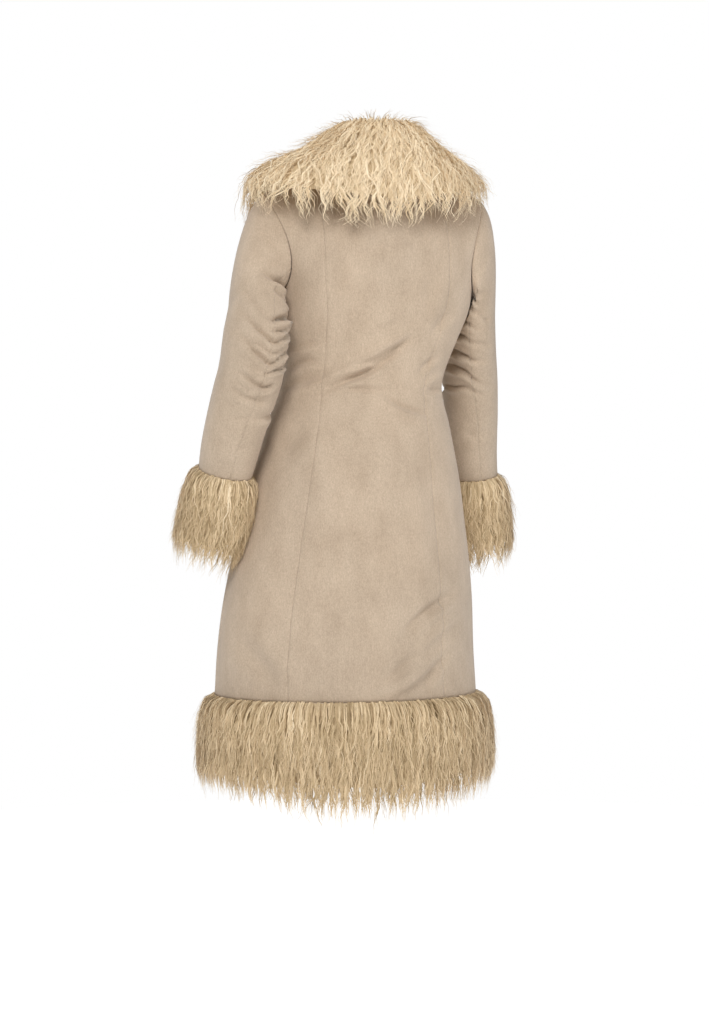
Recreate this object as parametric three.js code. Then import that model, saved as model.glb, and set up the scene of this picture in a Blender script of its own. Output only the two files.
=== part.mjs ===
// A long, fitted coat of suede cloth with a shaggy pile collar, cuffs and hem band, hollow as it hangs
// when worn. Millimetres. +Z is up, the fronts face -Y and the wearer's left is +X. The origin is the
// middle of the neck base, level with the shoulders.
import * as THREE from "three";

// Driving dimensions.
const WALL = 2.4; // thickness of every cloth wall
const SEAM_GAP = 0.6; // between the edges of two pieces that are sewn together
const HEM_HEIGHT = -950; // seam between the cloth and the hem band
const UNDERARM_HEIGHT = -226; // lowest point of both armholes
const HEM_BAND_DROP = 196; // hem seam to the mean height of the pile tips
const CUFF_DROP = 158; // cuff seam to the mean height of the pile tips, along the arm
const SLEEVE_CLEARANCE = 5.5; // sleeve to the body where they press together
const PILE_CLEARANCE = 4; // pile to the cloth it hangs beside
const COLLAR_CLEARANCE = 3; // underside of the collar to the shoulders
const FRONT_PARTS_BELOW = -470; // the two fronts meet above this height and part below it
const FRONT_PARTING = 22; // each front edge to the middle, at the hem
const FRONT_MEETING = 0.5; // each front edge to the middle, above the waist

// Horizontal sections of the body from the hem up to the underarm. axis: x of the middle. halfWidth:
// middle to side seam. back and front: depth behind and before the axis. seam: middle to back seam.
const BODY_SECTIONS = [
  { height: -1160, axis: 51, halfWidth: 248, back: 196, front: 184, seam: 146 },
  { height: -950, axis: 52, halfWidth: 240, back: 188, front: 177, seam: 143 },
  { height: -874, axis: 52, halfWidth: 236, back: 182, front: 171, seam: 141 },
  { height: -783, axis: 48, halfWidth: 229, back: 174, front: 163, seam: 136 },
  { height: -692, axis: 42, halfWidth: 216, back: 165, front: 152, seam: 127 },
  { height: -637, axis: 38, halfWidth: 206, back: 158, front: 145, seam: 121 },
  { height: -564, axis: 34, halfWidth: 193, back: 149, front: 136, seam: 112 },
  { height: -498, axis: 30, halfWidth: 177, back: 136, front: 128, seam: 104 },
  { height: -457, axis: 28, halfWidth: 167, back: 125, front: 123, seam: 99 },
  { height: -419, axis: 25, halfWidth: 154, back: 113, front: 118, seam: 96 },
  { height: -391, axis: 22, halfWidth: 149, back: 106, front: 116, seam: 95 },
  { height: -360, axis: 15, halfWidth: 149, back: 104, front: 117, seam: 97 },
  { height: -309, axis: 6, halfWidth: 161, back: 108, front: 125, seam: 104 },
  { height: -262, axis: -1, halfWidth: 174, back: 115, front: 131, seam: 110 },
  { height: -226, axis: -4, halfWidth: 180, back: 119, front: 133, seam: 114 },
];
// Heights of the rows of points between the hem and the underarm, closer together at the waist.
const BODY_ROW_HEIGHTS = [
  -950, -912, -872, -832, -792, -750, -706, -662, -618, -576, -536, -500, -470, -444, -424, -408, -393, -379,
  -365, -350, -334, -314, -288, -258, -226,
];
// Centre back and centre front above the underarm, from the armhole's foot to the neckline.
const YOKE_BACK_CENTRE = [
  { height: -226, depth: 119 },
  { height: -176, depth: 121 },
  { height: -126, depth: 118 },
  { height: -78, depth: 107 },
  { height: -32, depth: 86 },
  { height: 8, depth: 60 },
];
const YOKE_FRONT_CENTRE = [
  { height: -226, depth: 133 },
  { height: -186, depth: 131 },
  { height: -148, depth: 124 },
  { height: -108, depth: 108 },
  { height: -70, depth: 88 },
];
// The armhole from its foot up to the shoulder tip, at the back and at the front. out: from the axis.
const ARMHOLE_BACK = [
  { out: 180, depth: 0, height: -226 },
  { out: 176, depth: 27, height: -220 },
  { out: 170, depth: 47, height: -202 },
  { out: 168, depth: 59, height: -174 },
  { out: 173, depth: 62, height: -143 },
  { out: 181, depth: 57, height: -114 },
  { out: 191, depth: 46, height: -87 },
  { out: 199, depth: 27, height: -62 },
  { out: 202, depth: 0, height: -48 },
];
const ARMHOLE_FRONT = [
  { out: 180, depth: 0, height: -226 },
  { out: 175, depth: 25, height: -220 },
  { out: 167, depth: 45, height: -202 },
  { out: 161, depth: 58, height: -174 },
  { out: 161, depth: 62, height: -143 },
  { out: 168, depth: 57, height: -114 },
  { out: 181, depth: 44, height: -87 },
  { out: 194, depth: 22, height: -62 },
  { out: 202, depth: 0, height: -48 },
];
const SHOULDER_AXIS = 3; // x of the middle between the shoulder tips
const NECK_SIDE = { out: 74, depth: 4, height: 8 }; // where the neckline meets the shoulder seam
const NECK_SHARE = 0.36; // share of the top row that is neckline; the rest is shoulder seam
const YOKE_ROWS = 10; // rows of points between the underarm and the neckline
const YOKE_FLAT_ROWS = 4; // of these, the lowest follow the body's own section
const YOKE_SEAM_OUT = 116; // back seam above the underarm, from the axis
const SHOULDER_SEAM_SHARE = 0.6; // where the back seam meets the shoulder seam, as a share of the top row

// Columns of points across each panel.
const BACK_CENTRE_COLUMNS = 10;
const BACK_SIDE_COLUMNS = 6;
const FRONT_COLUMNS = 8;

// Sections of each sleeve down the arm, square to it. halfWidth is across, halfDepth fore and aft.
const LEFT_ARM = [
  { x: 224, y: 38, z: -256, halfWidth: 52, halfDepth: 63 },
  { x: 231, y: 60, z: -300, halfWidth: 58, halfDepth: 64 },
  { x: 243, y: 69, z: -371, halfWidth: 58, halfDepth: 62 },
  { x: 254, y: 67, z: -411, halfWidth: 57, halfDepth: 60 },
  { x: 269, y: 57, z: -471, halfWidth: 54, halfDepth: 56 },
  { x: 277, y: 48, z: -511, halfWidth: 52, halfDepth: 53 },
  { x: 283, y: 37, z: -550, halfWidth: 48, halfDepth: 50 },
];
const RIGHT_ARM = [
  { x: -197, y: -46, z: -262, halfWidth: 46, halfDepth: 62 },
  { x: -202, y: -63, z: -316, halfWidth: 48, halfDepth: 62 },
  { x: -209, y: -82, z: -380, halfWidth: 51, halfDepth: 60 },
  { x: -214, y: -91, z: -437, halfWidth: 50, halfDepth: 56 },
  { x: -218, y: -103, z: -510, halfWidth: 48, halfDepth: 52 },
  { x: -224, y: -112, z: -560, halfWidth: 46, halfDepth: 50 },
];
const SLEEVE_COLUMNS = 2 * YOKE_ROWS; // one for each point of the armhole
const CAP_ROWS = 6; // rows of points over the sleeve head
const ARM_ROWS = 20; // rows of points from the sleeve head to the cuff seam
// How a line over the sleeve head leaves the armhole: out and down, and the share of its length for
// which it keeps that direction, at the shoulder tip and at the foot of the armhole.
const LEAVE_TIP = { out: 0.84, down: 0.54, keep: 0.19 };
const LEAVE_FOOT = { out: 0.57, down: 0.82, keep: 0.5 };
const CAP_ARRIVE = 0.36; // share for which it keeps the direction of the arm at its other end
const BACK_SEAM_COLUMN = 7; // column of the sleeve's back seam, counted from the shoulder tip
const FRONT_SEAM_COLUMN = 13;
const TOP_SLEEVE_START = FRONT_SEAM_COLUMN - SLEEVE_COLUMNS; // the front seam again, one turn before
const HEAD_SEAM_DRIFT = -14; // degrees that the back seam moves outwards over the sleeve head
const CUFF_SEAM_DRIFT = -38; // the same by the cuff

// Long soft creases of the body: a ridge (depth over 0) or trough between two points on one face.
const BODY_CREASES = [
  { face: 1, x0: 112, z0: -376, x1: -22, z1: -314, width: 19, depth: 4 },
  { face: 1, x0: 60, z0: -378, x1: -34, z1: -334, width: 15, depth: -4 },
  { face: 1, x0: 176, z0: -396, x1: 112, z1: -384, width: 15, depth: -3.5 },
  { face: 1, x0: 60, z0: -404, x1: -30, z1: -400, width: 16, depth: 2.5 },
  { face: 1, x0: -12, z0: -838, x1: -118, z1: -768, width: 24, depth: -4 },
  { face: 1, x0: 16, z0: -938, x1: -64, z1: -884, width: 22, depth: 3.5 },
  { face: 1, x0: 246, z0: -826, x1: 190, z1: -900, width: 22, depth: 3.5 },
  { face: -1, x0: 110, z0: -378, x1: 10, z1: -344, width: 14, depth: -4 },
  { face: -1, x0: -84, z0: -376, x1: 4, z1: -350, width: 13, depth: 4 },
  { face: -1, x0: -100, z0: -398, x1: -16, z1: -402, width: 13, depth: -3.5 },
  { face: -1, x0: 190, z0: -640, x1: 160, z1: -900, width: 30, depth: -5 },
  { face: -1, x0: -70, z0: -660, x1: -110, z1: -920, width: 30, depth: -5 },
  { face: -1, x0: -160, z0: -700, x1: -176, z1: -950, width: 22, depth: 6 },
];
// Hanging creases of the sleeves: heights at the outer side, at the lowest point and at the inner side.
const LEFT_SLEEVE_CREASES = [
  { face: 1, outer: -122, low: -168, inner: -186, width: 10, depth: -4 },
  { face: 1, outer: -196, low: -212, inner: -234, width: 9, depth: -6 },
  { face: 1, outer: -237, low: -279, inner: -276, width: 9, depth: -6 },
  { face: 1, outer: -263, low: -318, inner: -305, width: 9, depth: -6.5 },
  { face: 1, outer: -311, low: -353, inner: -338, width: 9, depth: -6 },
  { face: 1, outer: -360, low: -398, inner: -379, width: 10, depth: -5 },
  { face: -1, outer: -210, low: -262, inner: -250, width: 11, depth: -6 },
  { face: -1, outer: -282, low: -326, inner: -318, width: 11, depth: -6 },
  { face: -1, outer: -344, low: -380, inner: -372, width: 12, depth: -5 },
];
const RIGHT_SLEEVE_CREASES = [
  { face: 1, outer: -180, low: -200, inner: -226, width: 14, depth: -3 },
  { face: 1, outer: -268, low: -250, inner: -236, width: 10, depth: -4.5 },
  { face: 1, outer: -322, low: -306, inner: -290, width: 10, depth: -4 },
  { face: 1, outer: -372, low: -356, inner: -332, width: 11, depth: -3.5 },
  { face: -1, outer: -262, low: -306, inner: -292, width: 11, depth: -6 },
  { face: -1, outer: -318, low: -356, inner: -346, width: 11, depth: -6 },
  { face: -1, outer: -372, low: -408, inner: -396, width: 12, depth: -5 },
];

// Profiles of the pile: out from the cloth, and down as a share of the drop from the seam.
const HEM_PILE = [
  { out: 0.5, down: 0.004 },
  { out: 14, down: -0.04 },
  { out: 24, down: 0.1 },
  { out: 29, down: 0.34 },
  { out: 29, down: 0.6 },
  { out: 21, down: 0.83 },
  { out: 7, down: 1 },
];
const CUFF_PILE = [
  { out: 0.5, down: 0.004 },
  { out: 9, down: -0.045 },
  { out: 17, down: 0.12 },
  { out: 22, down: 0.4 },
  { out: 22, down: 0.66 },
  { out: 15, down: 0.85 },
  { out: 5, down: 1 },
];
const HEM_SIDE_DROP = 0.79; // drop at the side seams as a share of the drop at the centre
const HEM_LOCK_COLUMNS = 36; // columns of points round half of the hem
const CUFF_LOCK_COLUMNS = 26;
const PILE_DRAW_IN = 5; // the lower edge of the pile's back stands this far inside the tips
const LOCK_SWELL = 0.2; // share by which the pile's locks stand out and in
const LOCK_JAG = 13; // tips reach this far above and below their mean height
// The collar round the neck, by degrees from the centre back. Each pair is out from the neck's middle
// and height: base on the neckline, roll at the top, crown, rim and tip down the outside.
const COLLAR_SECTIONS = [
  {
    angle: 0, base: [60, 8], roll: [63, 86], crown: [106, 62],
    rim: [140, -6], skirt: [146, -66], tip: [136, -112],
  },
  {
    angle: 45, base: [68, 8], roll: [74, 84], crown: [123, 48],
    rim: [174, 0], skirt: [190, -52], tip: [186, -98],
  },
  {
    angle: 90, base: [74, 8], roll: [82, 70], crown: [131, 35],
    rim: [186, 8], skirt: [219, -18], tip: [230, -66],
  },
  {
    angle: 135, base: [86, -22], roll: [96, 30], crown: [144, 16],
    rim: [188, -24], skirt: [208, -76], tip: [204, -126],
  },
  {
    angle: 176, base: [88, -70], roll: [100, -28], crown: [130, -38],
    rim: [152, -84], skirt: [156, -132], tip: [146, -166],
  },
];
const COLLAR_COLUMNS = 44;
const COLLAR_SHIFT = 13; // the collar's middle stands this far to the wearer's left
const COLLAR_JAG = 10; // its tips reach this far above and below their mean height
const COLLAR_SWELL = 0.028; // share by which its locks stand out and in
const NECK_ROLL_IN = 9; // thickness of the standing part, inside the roll
const SHOULDER_SEARCH = 24; // the collar clears every point of the shoulders within this distance
const SHOULDER_FALL = 0.25; // less by this share of the distance

const vec = (x, y, z) => new THREE.Vector3(x, y, z);
const mix = (a, b, t) => a + (b - a) * t;
const clamp01 = (t) => Math.min(1, Math.max(0, t));
const smooth = (t) => clamp01(t) ** 2 * (3 - 2 * clamp01(t));
const radians = (degrees) => (degrees * Math.PI) / 180;

// An even scatter between -1 and 1, fixed for each whole number.
function scatter(i, salt) {
  const wave = Math.sin(i * 12.9898 + salt * 78.233) * 43758.5453;
  return 2 * (wave - Math.floor(wave)) - 1;
}

// A smooth curve through rows of a table: each named column at the position where key has this value.
function readTable(table, key, value) {
  const rising = table[1][key] > table[0][key];
  let i = table.findIndex((row) => (rising ? row[key] > value : row[key] < value));
  if (i < 0) i = table.length;
  const k = Math.min(Math.max(i - 1, 0), table.length - 2);
  const at = (n) => table[Math.min(Math.max(n, 0), table.length - 1)];
  const span = at(k + 1)[key] - at(k)[key];
  const t = (value - at(k)[key]) / span;
  const read = (pick) => {
    const slope = (a, b) => ((pick(b) - pick(a)) / (b[key] - a[key])) * span;
    const m0 = k > 0 ? slope(at(k - 1), at(k + 1)) : slope(at(k), at(k + 1));
    const m1 = k < table.length - 2 ? slope(at(k), at(k + 2)) : slope(at(k), at(k + 1));
    const [p0, p1] = [pick(at(k)), pick(at(k + 1))];
    return (
      (2 * t ** 3 - 3 * t ** 2 + 1) * p0 + (t ** 3 - 2 * t ** 2 + t) * m0 +
      (3 * t ** 2 - 2 * t ** 3) * p1 + (t ** 3 - t ** 2) * m1
    );
  };
  const out = {};
  for (const [name, entry] of Object.entries(table[0])) {
    out[name] = Array.isArray(entry)
      ? entry.map((_, n) => read((row) => row[name][n]))
      : read((row) => row[name]);
  }
  return out;
}

// The same table with a column `share` that runs evenly from 0 to 1 along the curve it describes.
function withShares(table, names) {
  let run = 0;
  const runs = table.map((row, i) => {
    if (i) run += Math.hypot(...names.map((name) => row[name] - table[i - 1][name]));
    return run;
  });
  return table.map((row, i) => ({ ...row, share: runs[i] / run }));
}

const armholes = {
  1: withShares(ARMHOLE_BACK, ["out", "depth", "height"]),
  "-1": withShares(ARMHOLE_FRONT, ["out", "depth", "height"]),
};
const yokeCentres = {
  1: withShares(YOKE_BACK_CENTRE, ["depth", "height"]),
  "-1": withShares(YOKE_FRONT_CENTRE, ["depth", "height"]),
};

// How far creases lift a point of the body off its plain form. face is 1 at the back, -1 in front.
function bodyCrease(face, x, z) {
  let lift = 0;
  for (const c of BODY_CREASES) {
    if (c.face !== face) continue;
    const [dx, dz] = [c.x1 - c.x0, c.z1 - c.z0];
    const t = ((x - c.x0) * dx + (z - c.z0) * dz) / (dx * dx + dz * dz);
    const off = Math.hypot(x - c.x0 - clamp01(t) * dx, z - c.z0 - clamp01(t) * dz);
    lift += c.depth * Math.exp(-((off / c.width) ** 2)) * (0.4 + 0.6 * Math.sin(Math.PI * clamp01(t)));
  }
  return lift;
}

// A point of the body below the underarm. share runs from the centre (0) to the side seam (1).
function bodyPoint(face, side, height, share) {
  const s = readTable(BODY_SECTIONS, "height", height);
  const turn = (share * Math.PI) / 2;
  const depth = face > 0 ? s.back : s.front;
  const plain = vec(s.axis + side * s.halfWidth * Math.sin(turn), face * depth * Math.cos(turn), height);
  const fade = smooth((1 - share) * 4) * smooth((UNDERARM_HEIGHT - height) / 20);
  const lift = bodyCrease(face, plain.x, height) * fade;
  const out = vec(side * Math.sin(turn), face * Math.cos(turn), 0);
  return plain.addScaledVector(out, lift);
}

// x of the body's axis at the height of the armhole.
function yokeAxis(share) {
  return mix(BODY_SECTIONS[BODY_SECTIONS.length - 1].axis, SHOULDER_AXIS, share);
}

// A point of the armhole's edge: row 0 is its foot and the last row the shoulder tip.
function armholePoint(face, side, row) {
  const share = row / YOKE_ROWS;
  const a = readTable(armholes[face], "share", share);
  return vec(yokeAxis(share) + side * a.out, face * a.depth, a.height);
}

// How far a yoke row has turned from the body's section into the line of neck and shoulder.
const yokeLift = (row) => smooth((row - YOKE_FLAT_ROWS) / (YOKE_ROWS - YOKE_FLAT_ROWS));

// The part of an ellipse that a yoke row follows: its last angle is at the armhole's edge.
function yokeArc(face, row) {
  const centre = readTable(yokeCentres[face], "share", row / YOKE_ROWS);
  const edge = readTable(armholes[face], "share", row / YOKE_ROWS);
  const lastTurn = Math.acos(edge.depth / centre.depth);
  return { lastTurn, halfWidth: edge.out / Math.sin(lastTurn) };
}

// A point of the yoke, between the underarm and the neckline.
function yokePoint(face, side, row, share) {
  const centre = readTable(yokeCentres[face], "share", row / YOKE_ROWS);
  const edge = armholePoint(face, side, row);
  const axis = yokeAxis(row / YOKE_ROWS);
  const { lastTurn, halfWidth } = yokeArc(face, row);
  const arc = vec(
    axis + side * halfWidth * Math.sin(share * lastTurn),
    face * centre.depth * Math.cos(share * lastTurn),
    mix(centre.height, edge.z, smooth(share)),
  );
  // The neckline bends round the neck and then runs straight along the shoulder.
  const neckTurn = (clamp01(share / NECK_SHARE) * Math.PI) / 2;
  const neck = vec(
    axis + side * NECK_SIDE.out * Math.sin(neckTurn),
    mix(NECK_SIDE.depth * face, face * centre.depth, Math.cos(neckTurn)),
    mix(centre.height, NECK_SIDE.height, 1 - Math.cos(neckTurn)),
  );
  const along = clamp01((share - NECK_SHARE) / (1 - NECK_SHARE));
  const top = neck.lerp(edge, along);
  return arc.lerp(top, yokeLift(row));
}

// A point of the body in any row of its grid, where rows run from the hem to the neckline.
function gridPoint(face, side, row, share) {
  const lower = BODY_ROW_HEIGHTS.length - 1;
  if (row < lower) return bodyPoint(face, side, BODY_ROW_HEIGHTS[row], share);
  const p = yokePoint(face, side, row - lower, share);
  if (row === lower + YOKE_ROWS && share > NECK_SHARE) p.y = 0;
  return p;
}

// The share at which the back seam or the front edge stands in a row.
function shareAt(row, name) {
  const lower = BODY_ROW_HEIGHTS.length - 1;
  const height = BODY_ROW_HEIGHTS[Math.min(row, lower)];
  const s = readTable(BODY_SECTIONS, "height", height);
  if (name === "seam" && row > lower) {
    const { lastTurn, halfWidth } = yokeArc(1, row - lower);
    const low = Math.asin(YOKE_SEAM_OUT / halfWidth) / lastTurn;
    return mix(low, SHOULDER_SEAM_SHARE, yokeLift(row - lower));
  }
  if (name === "seam") return (2 / Math.PI) * Math.asin(s.seam / s.halfWidth);
  const open = clamp01((FRONT_PARTS_BELOW - height) / (FRONT_PARTS_BELOW - HEM_HEIGHT));
  const edge = FRONT_MEETING + (FRONT_PARTING - FRONT_MEETING) * open ** 1.5;
  return (2 / Math.PI) * Math.asin(edge / s.halfWidth);
}

const bodyRows = [...Array(BODY_ROW_HEIGHTS.length + YOKE_ROWS).keys()];
// A grid of points across one panel; shares gives the share of each column in a row.
const panelGrid = (face, columns, place) =>
  bodyRows.map((row) =>
    [...Array(columns + 1).keys()].map((c) => {
      const { side, share } = place(row, c / columns);
      return gridPoint(face, side, row, share);
    }),
  );
const backCentre = panelGrid(1, BACK_CENTRE_COLUMNS, (row, t) => {
  const across = (2 * t - 1) * shareAt(row, "seam");
  return { side: Math.sign(across) || 1, share: Math.abs(across) };
});
const backSide = (side) =>
  panelGrid(1, BACK_SIDE_COLUMNS, (row, t) => ({ side, share: mix(shareAt(row, "seam"), 1, t) }));
const front = (side) =>
  panelGrid(-1, FRONT_COLUMNS, (row, t) => ({ side, share: mix(shareAt(row, "edge"), 1, t) }));

// Moves a point that stands inside the body, or closer to it than this clearance, straight out.
function pushOffBody(p, clearance) {
  if (p.z >= UNDERARM_HEIGHT) return p;
  const s = readTable(BODY_SECTIONS, "height", p.z);
  const ease = Math.min(clearance, clearance / 2 + (UNDERARM_HEIGHT - p.z) * 0.2);
  const depth = (p.y > 0 ? s.back : s.front) + ease;
  const reach = Math.hypot((p.x - s.axis) / (s.halfWidth + ease), p.y / depth);
  if (reach < 1) {
    p.x = s.axis + (p.x - s.axis) / reach;
    p.y /= reach;
  }
  return p;
}

// The middle, direction and section of a sleeve at this share of its length below the sleeve head.
function armFrame(arm, side, share) {
  const at = readTable(arm, "share", share);
  const ahead = readTable(arm, "share", Math.min(1, share + 0.02));
  const behind = readTable(arm, "share", Math.max(0, share - 0.02));
  const down = vec(ahead.x - behind.x, ahead.y - behind.y, ahead.z - behind.z).normalize();
  const out = vec(side, 0, 0).addScaledVector(down, -side * down.x).normalize();
  const back = vec(0, 1, 0).addScaledVector(down, -down.y).addScaledVector(out, -out.y).normalize();
  return { middle: vec(at.x, at.y, at.z), down, out, back, ...at };
}

function sleeveCrease(creases, angle, z) {
  const face = Math.sin(angle) >= 0 ? 1 : -1;
  const across = (1 - Math.cos(angle)) / 2;
  const strength = Math.sqrt(Math.abs(Math.sin(angle))) * smooth(across * 2.2 + 0.12);
  let lift = 0;
  for (const c of creases) {
    if (c.face !== face) continue;
    const line = readTable(
      [{ at: 0, z: c.outer }, { at: 0.62, z: c.low }, { at: 1, z: c.inner }], "at", across);
    lift += c.depth * strength * Math.exp(-(((z - line.z) / c.width) ** 2));
  }
  return lift;
}

function sleeveGrid(table, creases, side) {
  const arm = withShares(table, ["x", "y", "z"]);
  const head = armFrame(arm, side, 0);
  const angleOf = (column, share) => {
    const drift = mix(HEAD_SEAM_DRIFT, CUFF_SEAM_DRIFT, smooth(share));
    const seam = BACK_SEAM_COLUMN + (drift / 360) * SLEEVE_COLUMNS;
    const isTop = column <= BACK_SEAM_COLUMN;
    const first = isTop ? TOP_SLEEVE_START : BACK_SEAM_COLUMN;
    const last = isTop ? BACK_SEAM_COLUMN : FRONT_SEAM_COLUMN;
    const across = (column - first) / (last - first);
    const c = isTop ? mix(first, seam, across) : mix(seam, last, across);
    return (c * 2 * Math.PI) / SLEEVE_COLUMNS;
  };
  const section = (f, angle) => {
    const p = f.middle.clone().addScaledVector(f.out, f.halfWidth * Math.cos(angle));
    return p.addScaledVector(f.back, f.halfDepth * Math.sin(angle));
  };
  const capPoint = (column, t) => {
    const angle = angleOf(column, 0);
    const turn = (column + SLEEVE_COLUMNS) % SLEEVE_COLUMNS;
    const start = turn <= YOKE_ROWS
      ? armholePoint(1, side, YOKE_ROWS - turn)
      : armholePoint(-1, side, turn - YOKE_ROWS);
    const end = section(head, angle);
    const reach = start.distanceTo(end);
    const low = (1 - Math.cos(angle)) / 2;
    const leave = vec(
      side * mix(LEAVE_TIP.out, LEAVE_FOOT.out, low), 0, -mix(LEAVE_TIP.down, LEAVE_FOOT.down, low));
    leave.setLength(mix(LEAVE_TIP.keep, LEAVE_FOOT.keep, low) * reach);
    const curve = new THREE.CubicBezierCurve3(
      start, start.clone().add(leave),
      end.clone().addScaledVector(head.down, -CAP_ARRIVE * reach), end);
    return curve.getPoint(t);
  };
  const rows = [...Array(CAP_ROWS + ARM_ROWS + 1).keys()];
  return (first, last) =>
    rows.map((row) =>
      [...Array(last - first + 1).keys()].map((c) => {
        const column = first + c;
        const share = clamp01((row - CAP_ROWS) / ARM_ROWS);
        const angle = angleOf(column, share);
        const frame = armFrame(arm, side, share);
        const p = row < CAP_ROWS ? capPoint(column, row / CAP_ROWS) : section(frame, angle);
        if (row === 0) return p;
        const out = frame.out.clone().multiplyScalar(Math.cos(angle));
        out.addScaledVector(frame.back, Math.sin(angle));
        const fade = smooth((CAP_ROWS + ARM_ROWS - row) / 3) * smooth(row / 3);
        p.addScaledVector(out, sleeveCrease(creases, angle, p.z) * fade);
        return pushOffBody(p, SLEEVE_CLEARANCE);
      }),
    );
}

const leftSleeve = sleeveGrid(LEFT_ARM, LEFT_SLEEVE_CREASES, 1);
const rightSleeve = sleeveGrid(RIGHT_ARM, RIGHT_SLEEVE_CREASES, -1);
// Middles of the body and of a sleeve beside a point, which tell its outer from its inner side.
const bodyCore = (p) => {
  const { axis } = readTable(BODY_SECTIONS, "height", Math.min(p.z, UNDERARM_HEIGHT));
  return vec(axis, 0, Math.min(p.z, UNDERARM_HEIGHT / 2));
};
const armCore = (table, side) => {
  const arm = withShares(table, ["x", "y", "z"]);
  const length = arm[0].z - arm[arm.length - 1].z;
  return (p) => armFrame(arm, side, clamp01((arm[0].z - p.z) / length)).middle;
};
const leftCore = armCore(LEFT_ARM, 1);
const rightCore = armCore(RIGHT_ARM, -1);
const clothPanels = [
  { name: "back_centre", grid: backCentre, core: bodyCore },
  { name: "back_side_left", grid: backSide(1), core: bodyCore },
  { name: "back_side_right", grid: backSide(-1), core: bodyCore },
  { name: "front_left", grid: front(1), core: bodyCore },
  { name: "front_right", grid: front(-1), core: bodyCore },
  { name: "sleeve_top_left", grid: leftSleeve(TOP_SLEEVE_START, BACK_SEAM_COLUMN), core: leftCore },
  { name: "sleeve_under_left", grid: leftSleeve(BACK_SEAM_COLUMN, FRONT_SEAM_COLUMN), core: leftCore },
  { name: "sleeve_top_right", grid: rightSleeve(TOP_SLEEVE_START, BACK_SEAM_COLUMN), core: rightCore },
  { name: "sleeve_under_right", grid: rightSleeve(BACK_SEAM_COLUMN, FRONT_SEAM_COLUMN), core: rightCore },
];

// Outward directions at every point, shared by panels that meet there so that their walls meet too.
// Body and sleeve count the same at the armholes, whatever the number of faces that meet.
const keyOf = (p) => [p.x, p.y, p.z].map((v) => Math.round(v * 4)).join(" ");
const directionSums = new Map();
for (const { grid, core } of clothPanels) {
  const faces = [];
  for (let r = 0; r + 1 < grid.length; r++) {
    for (let c = 0; c + 1 < grid[0].length; c++) {
      const corners = [grid[r][c], grid[r][c + 1], grid[r + 1][c + 1], grid[r + 1][c]];
      const normal = vec(0, 0, 0).crossVectors(
        corners[2].clone().sub(corners[0]), corners[3].clone().sub(corners[1]));
      faces.push({ corners, normal, middle: corners[0].clone().add(corners[2]).multiplyScalar(0.5) });
    }
  }
  let sign = 0;
  for (const f of faces) sign += f.normal.dot(f.middle.clone().sub(core(f.middle)));
  for (const f of faces) {
    for (const p of f.corners) {
      const sums = directionSums.get(keyOf(p)) || new Map();
      const part = core === bodyCore ? "body" : "sleeve";
      const sum = sums.get(part) || vec(0, 0, 0);
      sum.addScaledVector(f.normal.clone().normalize(), Math.sign(sign));
      if (Math.abs(p.y) < 0.01) sum.y = 0;
      directionSums.set(keyOf(p), sums.set(part, sum));
    }
  }
}
function outwardAt(p) {
  const total = vec(0, 0, 0);
  for (const sum of directionSums.get(keyOf(p)).values()) total.add(sum.clone().normalize());
  return total.normalize();
}

// One closed body between an outer and an inner grid. closed joins the last row to the first.
function solidBetween(outer, inner, closed) {
  const points = [];
  const faces = [];
  const index = (grid) => grid.map((row) => row.map((p) => points.push(p) - 1));
  const [o, n] = [index(outer), index(inner)];
  const quad = (a, b, c, d) => faces.push([a, b, c], [a, c, d]);
  const rows = o.length;
  for (let r = 0; r < (closed ? rows : rows - 1); r++) {
    const next = (r + 1) % rows;
    for (const [ids, flip] of [[o, false], [n, true]]) {
      for (let c = 0; c + 1 < ids[r].length; c++) {
        const ring = [ids[r][c], ids[r][c + 1], ids[next][c + 1], ids[next][c]];
        quad(...(flip ? ring.reverse() : ring));
      }
    }
    const [lastO, lastN] = [o[r].length - 1, n[r].length - 1];
    quad(o[r][0], o[next][0], n[next][0], n[r][0]);
    quad(o[next][lastO], o[r][lastO], n[r][lastN], n[next][lastN]);
  }
  const cap = (r, flip) => {
    let [i, j] = [0, 0];
    const [m, k] = [o[r].length - 1, n[r].length - 1];
    while (i < m || j < k) {
      const onOuter = j === k || (i < m && (i + 1) / m <= (j + 1) / k);
      const tri = onOuter ? [o[r][i], n[r][j], o[r][i + 1]] : [o[r][i], n[r][j], n[r][j + 1]];
      faces.push(flip ? tri.reverse() : tri);
      if (onOuter) i++;
      else j++;
    }
  };
  if (!closed) {
    cap(0, false);
    cap(rows - 1, true);
  }
  let volume = 0;
  for (const [a, b, c] of faces) {
    volume += points[a].dot(vec(0, 0, 0).crossVectors(points[b], points[c])) / 6;
  }
  const geometry = new THREE.BufferGeometry();
  const values = points.flatMap((p) => [p.x, p.y, p.z]);
  geometry.setAttribute("position", new THREE.Float32BufferAttribute(values, 3));
  geometry.setIndex((volume < 0 ? faces.map(([a, b, c]) => [a, c, b]) : faces).flat());
  geometry.computeVertexNormals();
  return geometry;
}

// Draws the border of a grid in towards its middle, half a seam gap on each side, square to the border.
function drawIn(grid) {
  const [rows, columns] = [grid.length, grid[0].length];
  const step = (p, inward, before, after) => {
    const along = after.clone().sub(before).normalize();
    const way = inward.clone().sub(p);
    return way.addScaledVector(along, -way.dot(along)).setLength(SEAM_GAP / 2);
  };
  return grid.map((line, r) =>
    line.map((p, c) => {
      const moved = p.clone();
      const [left, right] = [line[Math.max(c - 1, 0)], line[Math.min(c + 1, columns - 1)]];
      const [low, high] = [grid[Math.max(r - 1, 0)][c], grid[Math.min(r + 1, rows - 1)][c]];
      if (r === 0) moved.add(step(p, high, left, right));
      if (r === rows - 1) moved.add(step(p, low, left, right));
      if (c === 0) moved.add(step(p, right, low, high));
      if (c === columns - 1) moved.add(step(p, left, low, high));
      return moved;
    }),
  );
}

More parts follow.
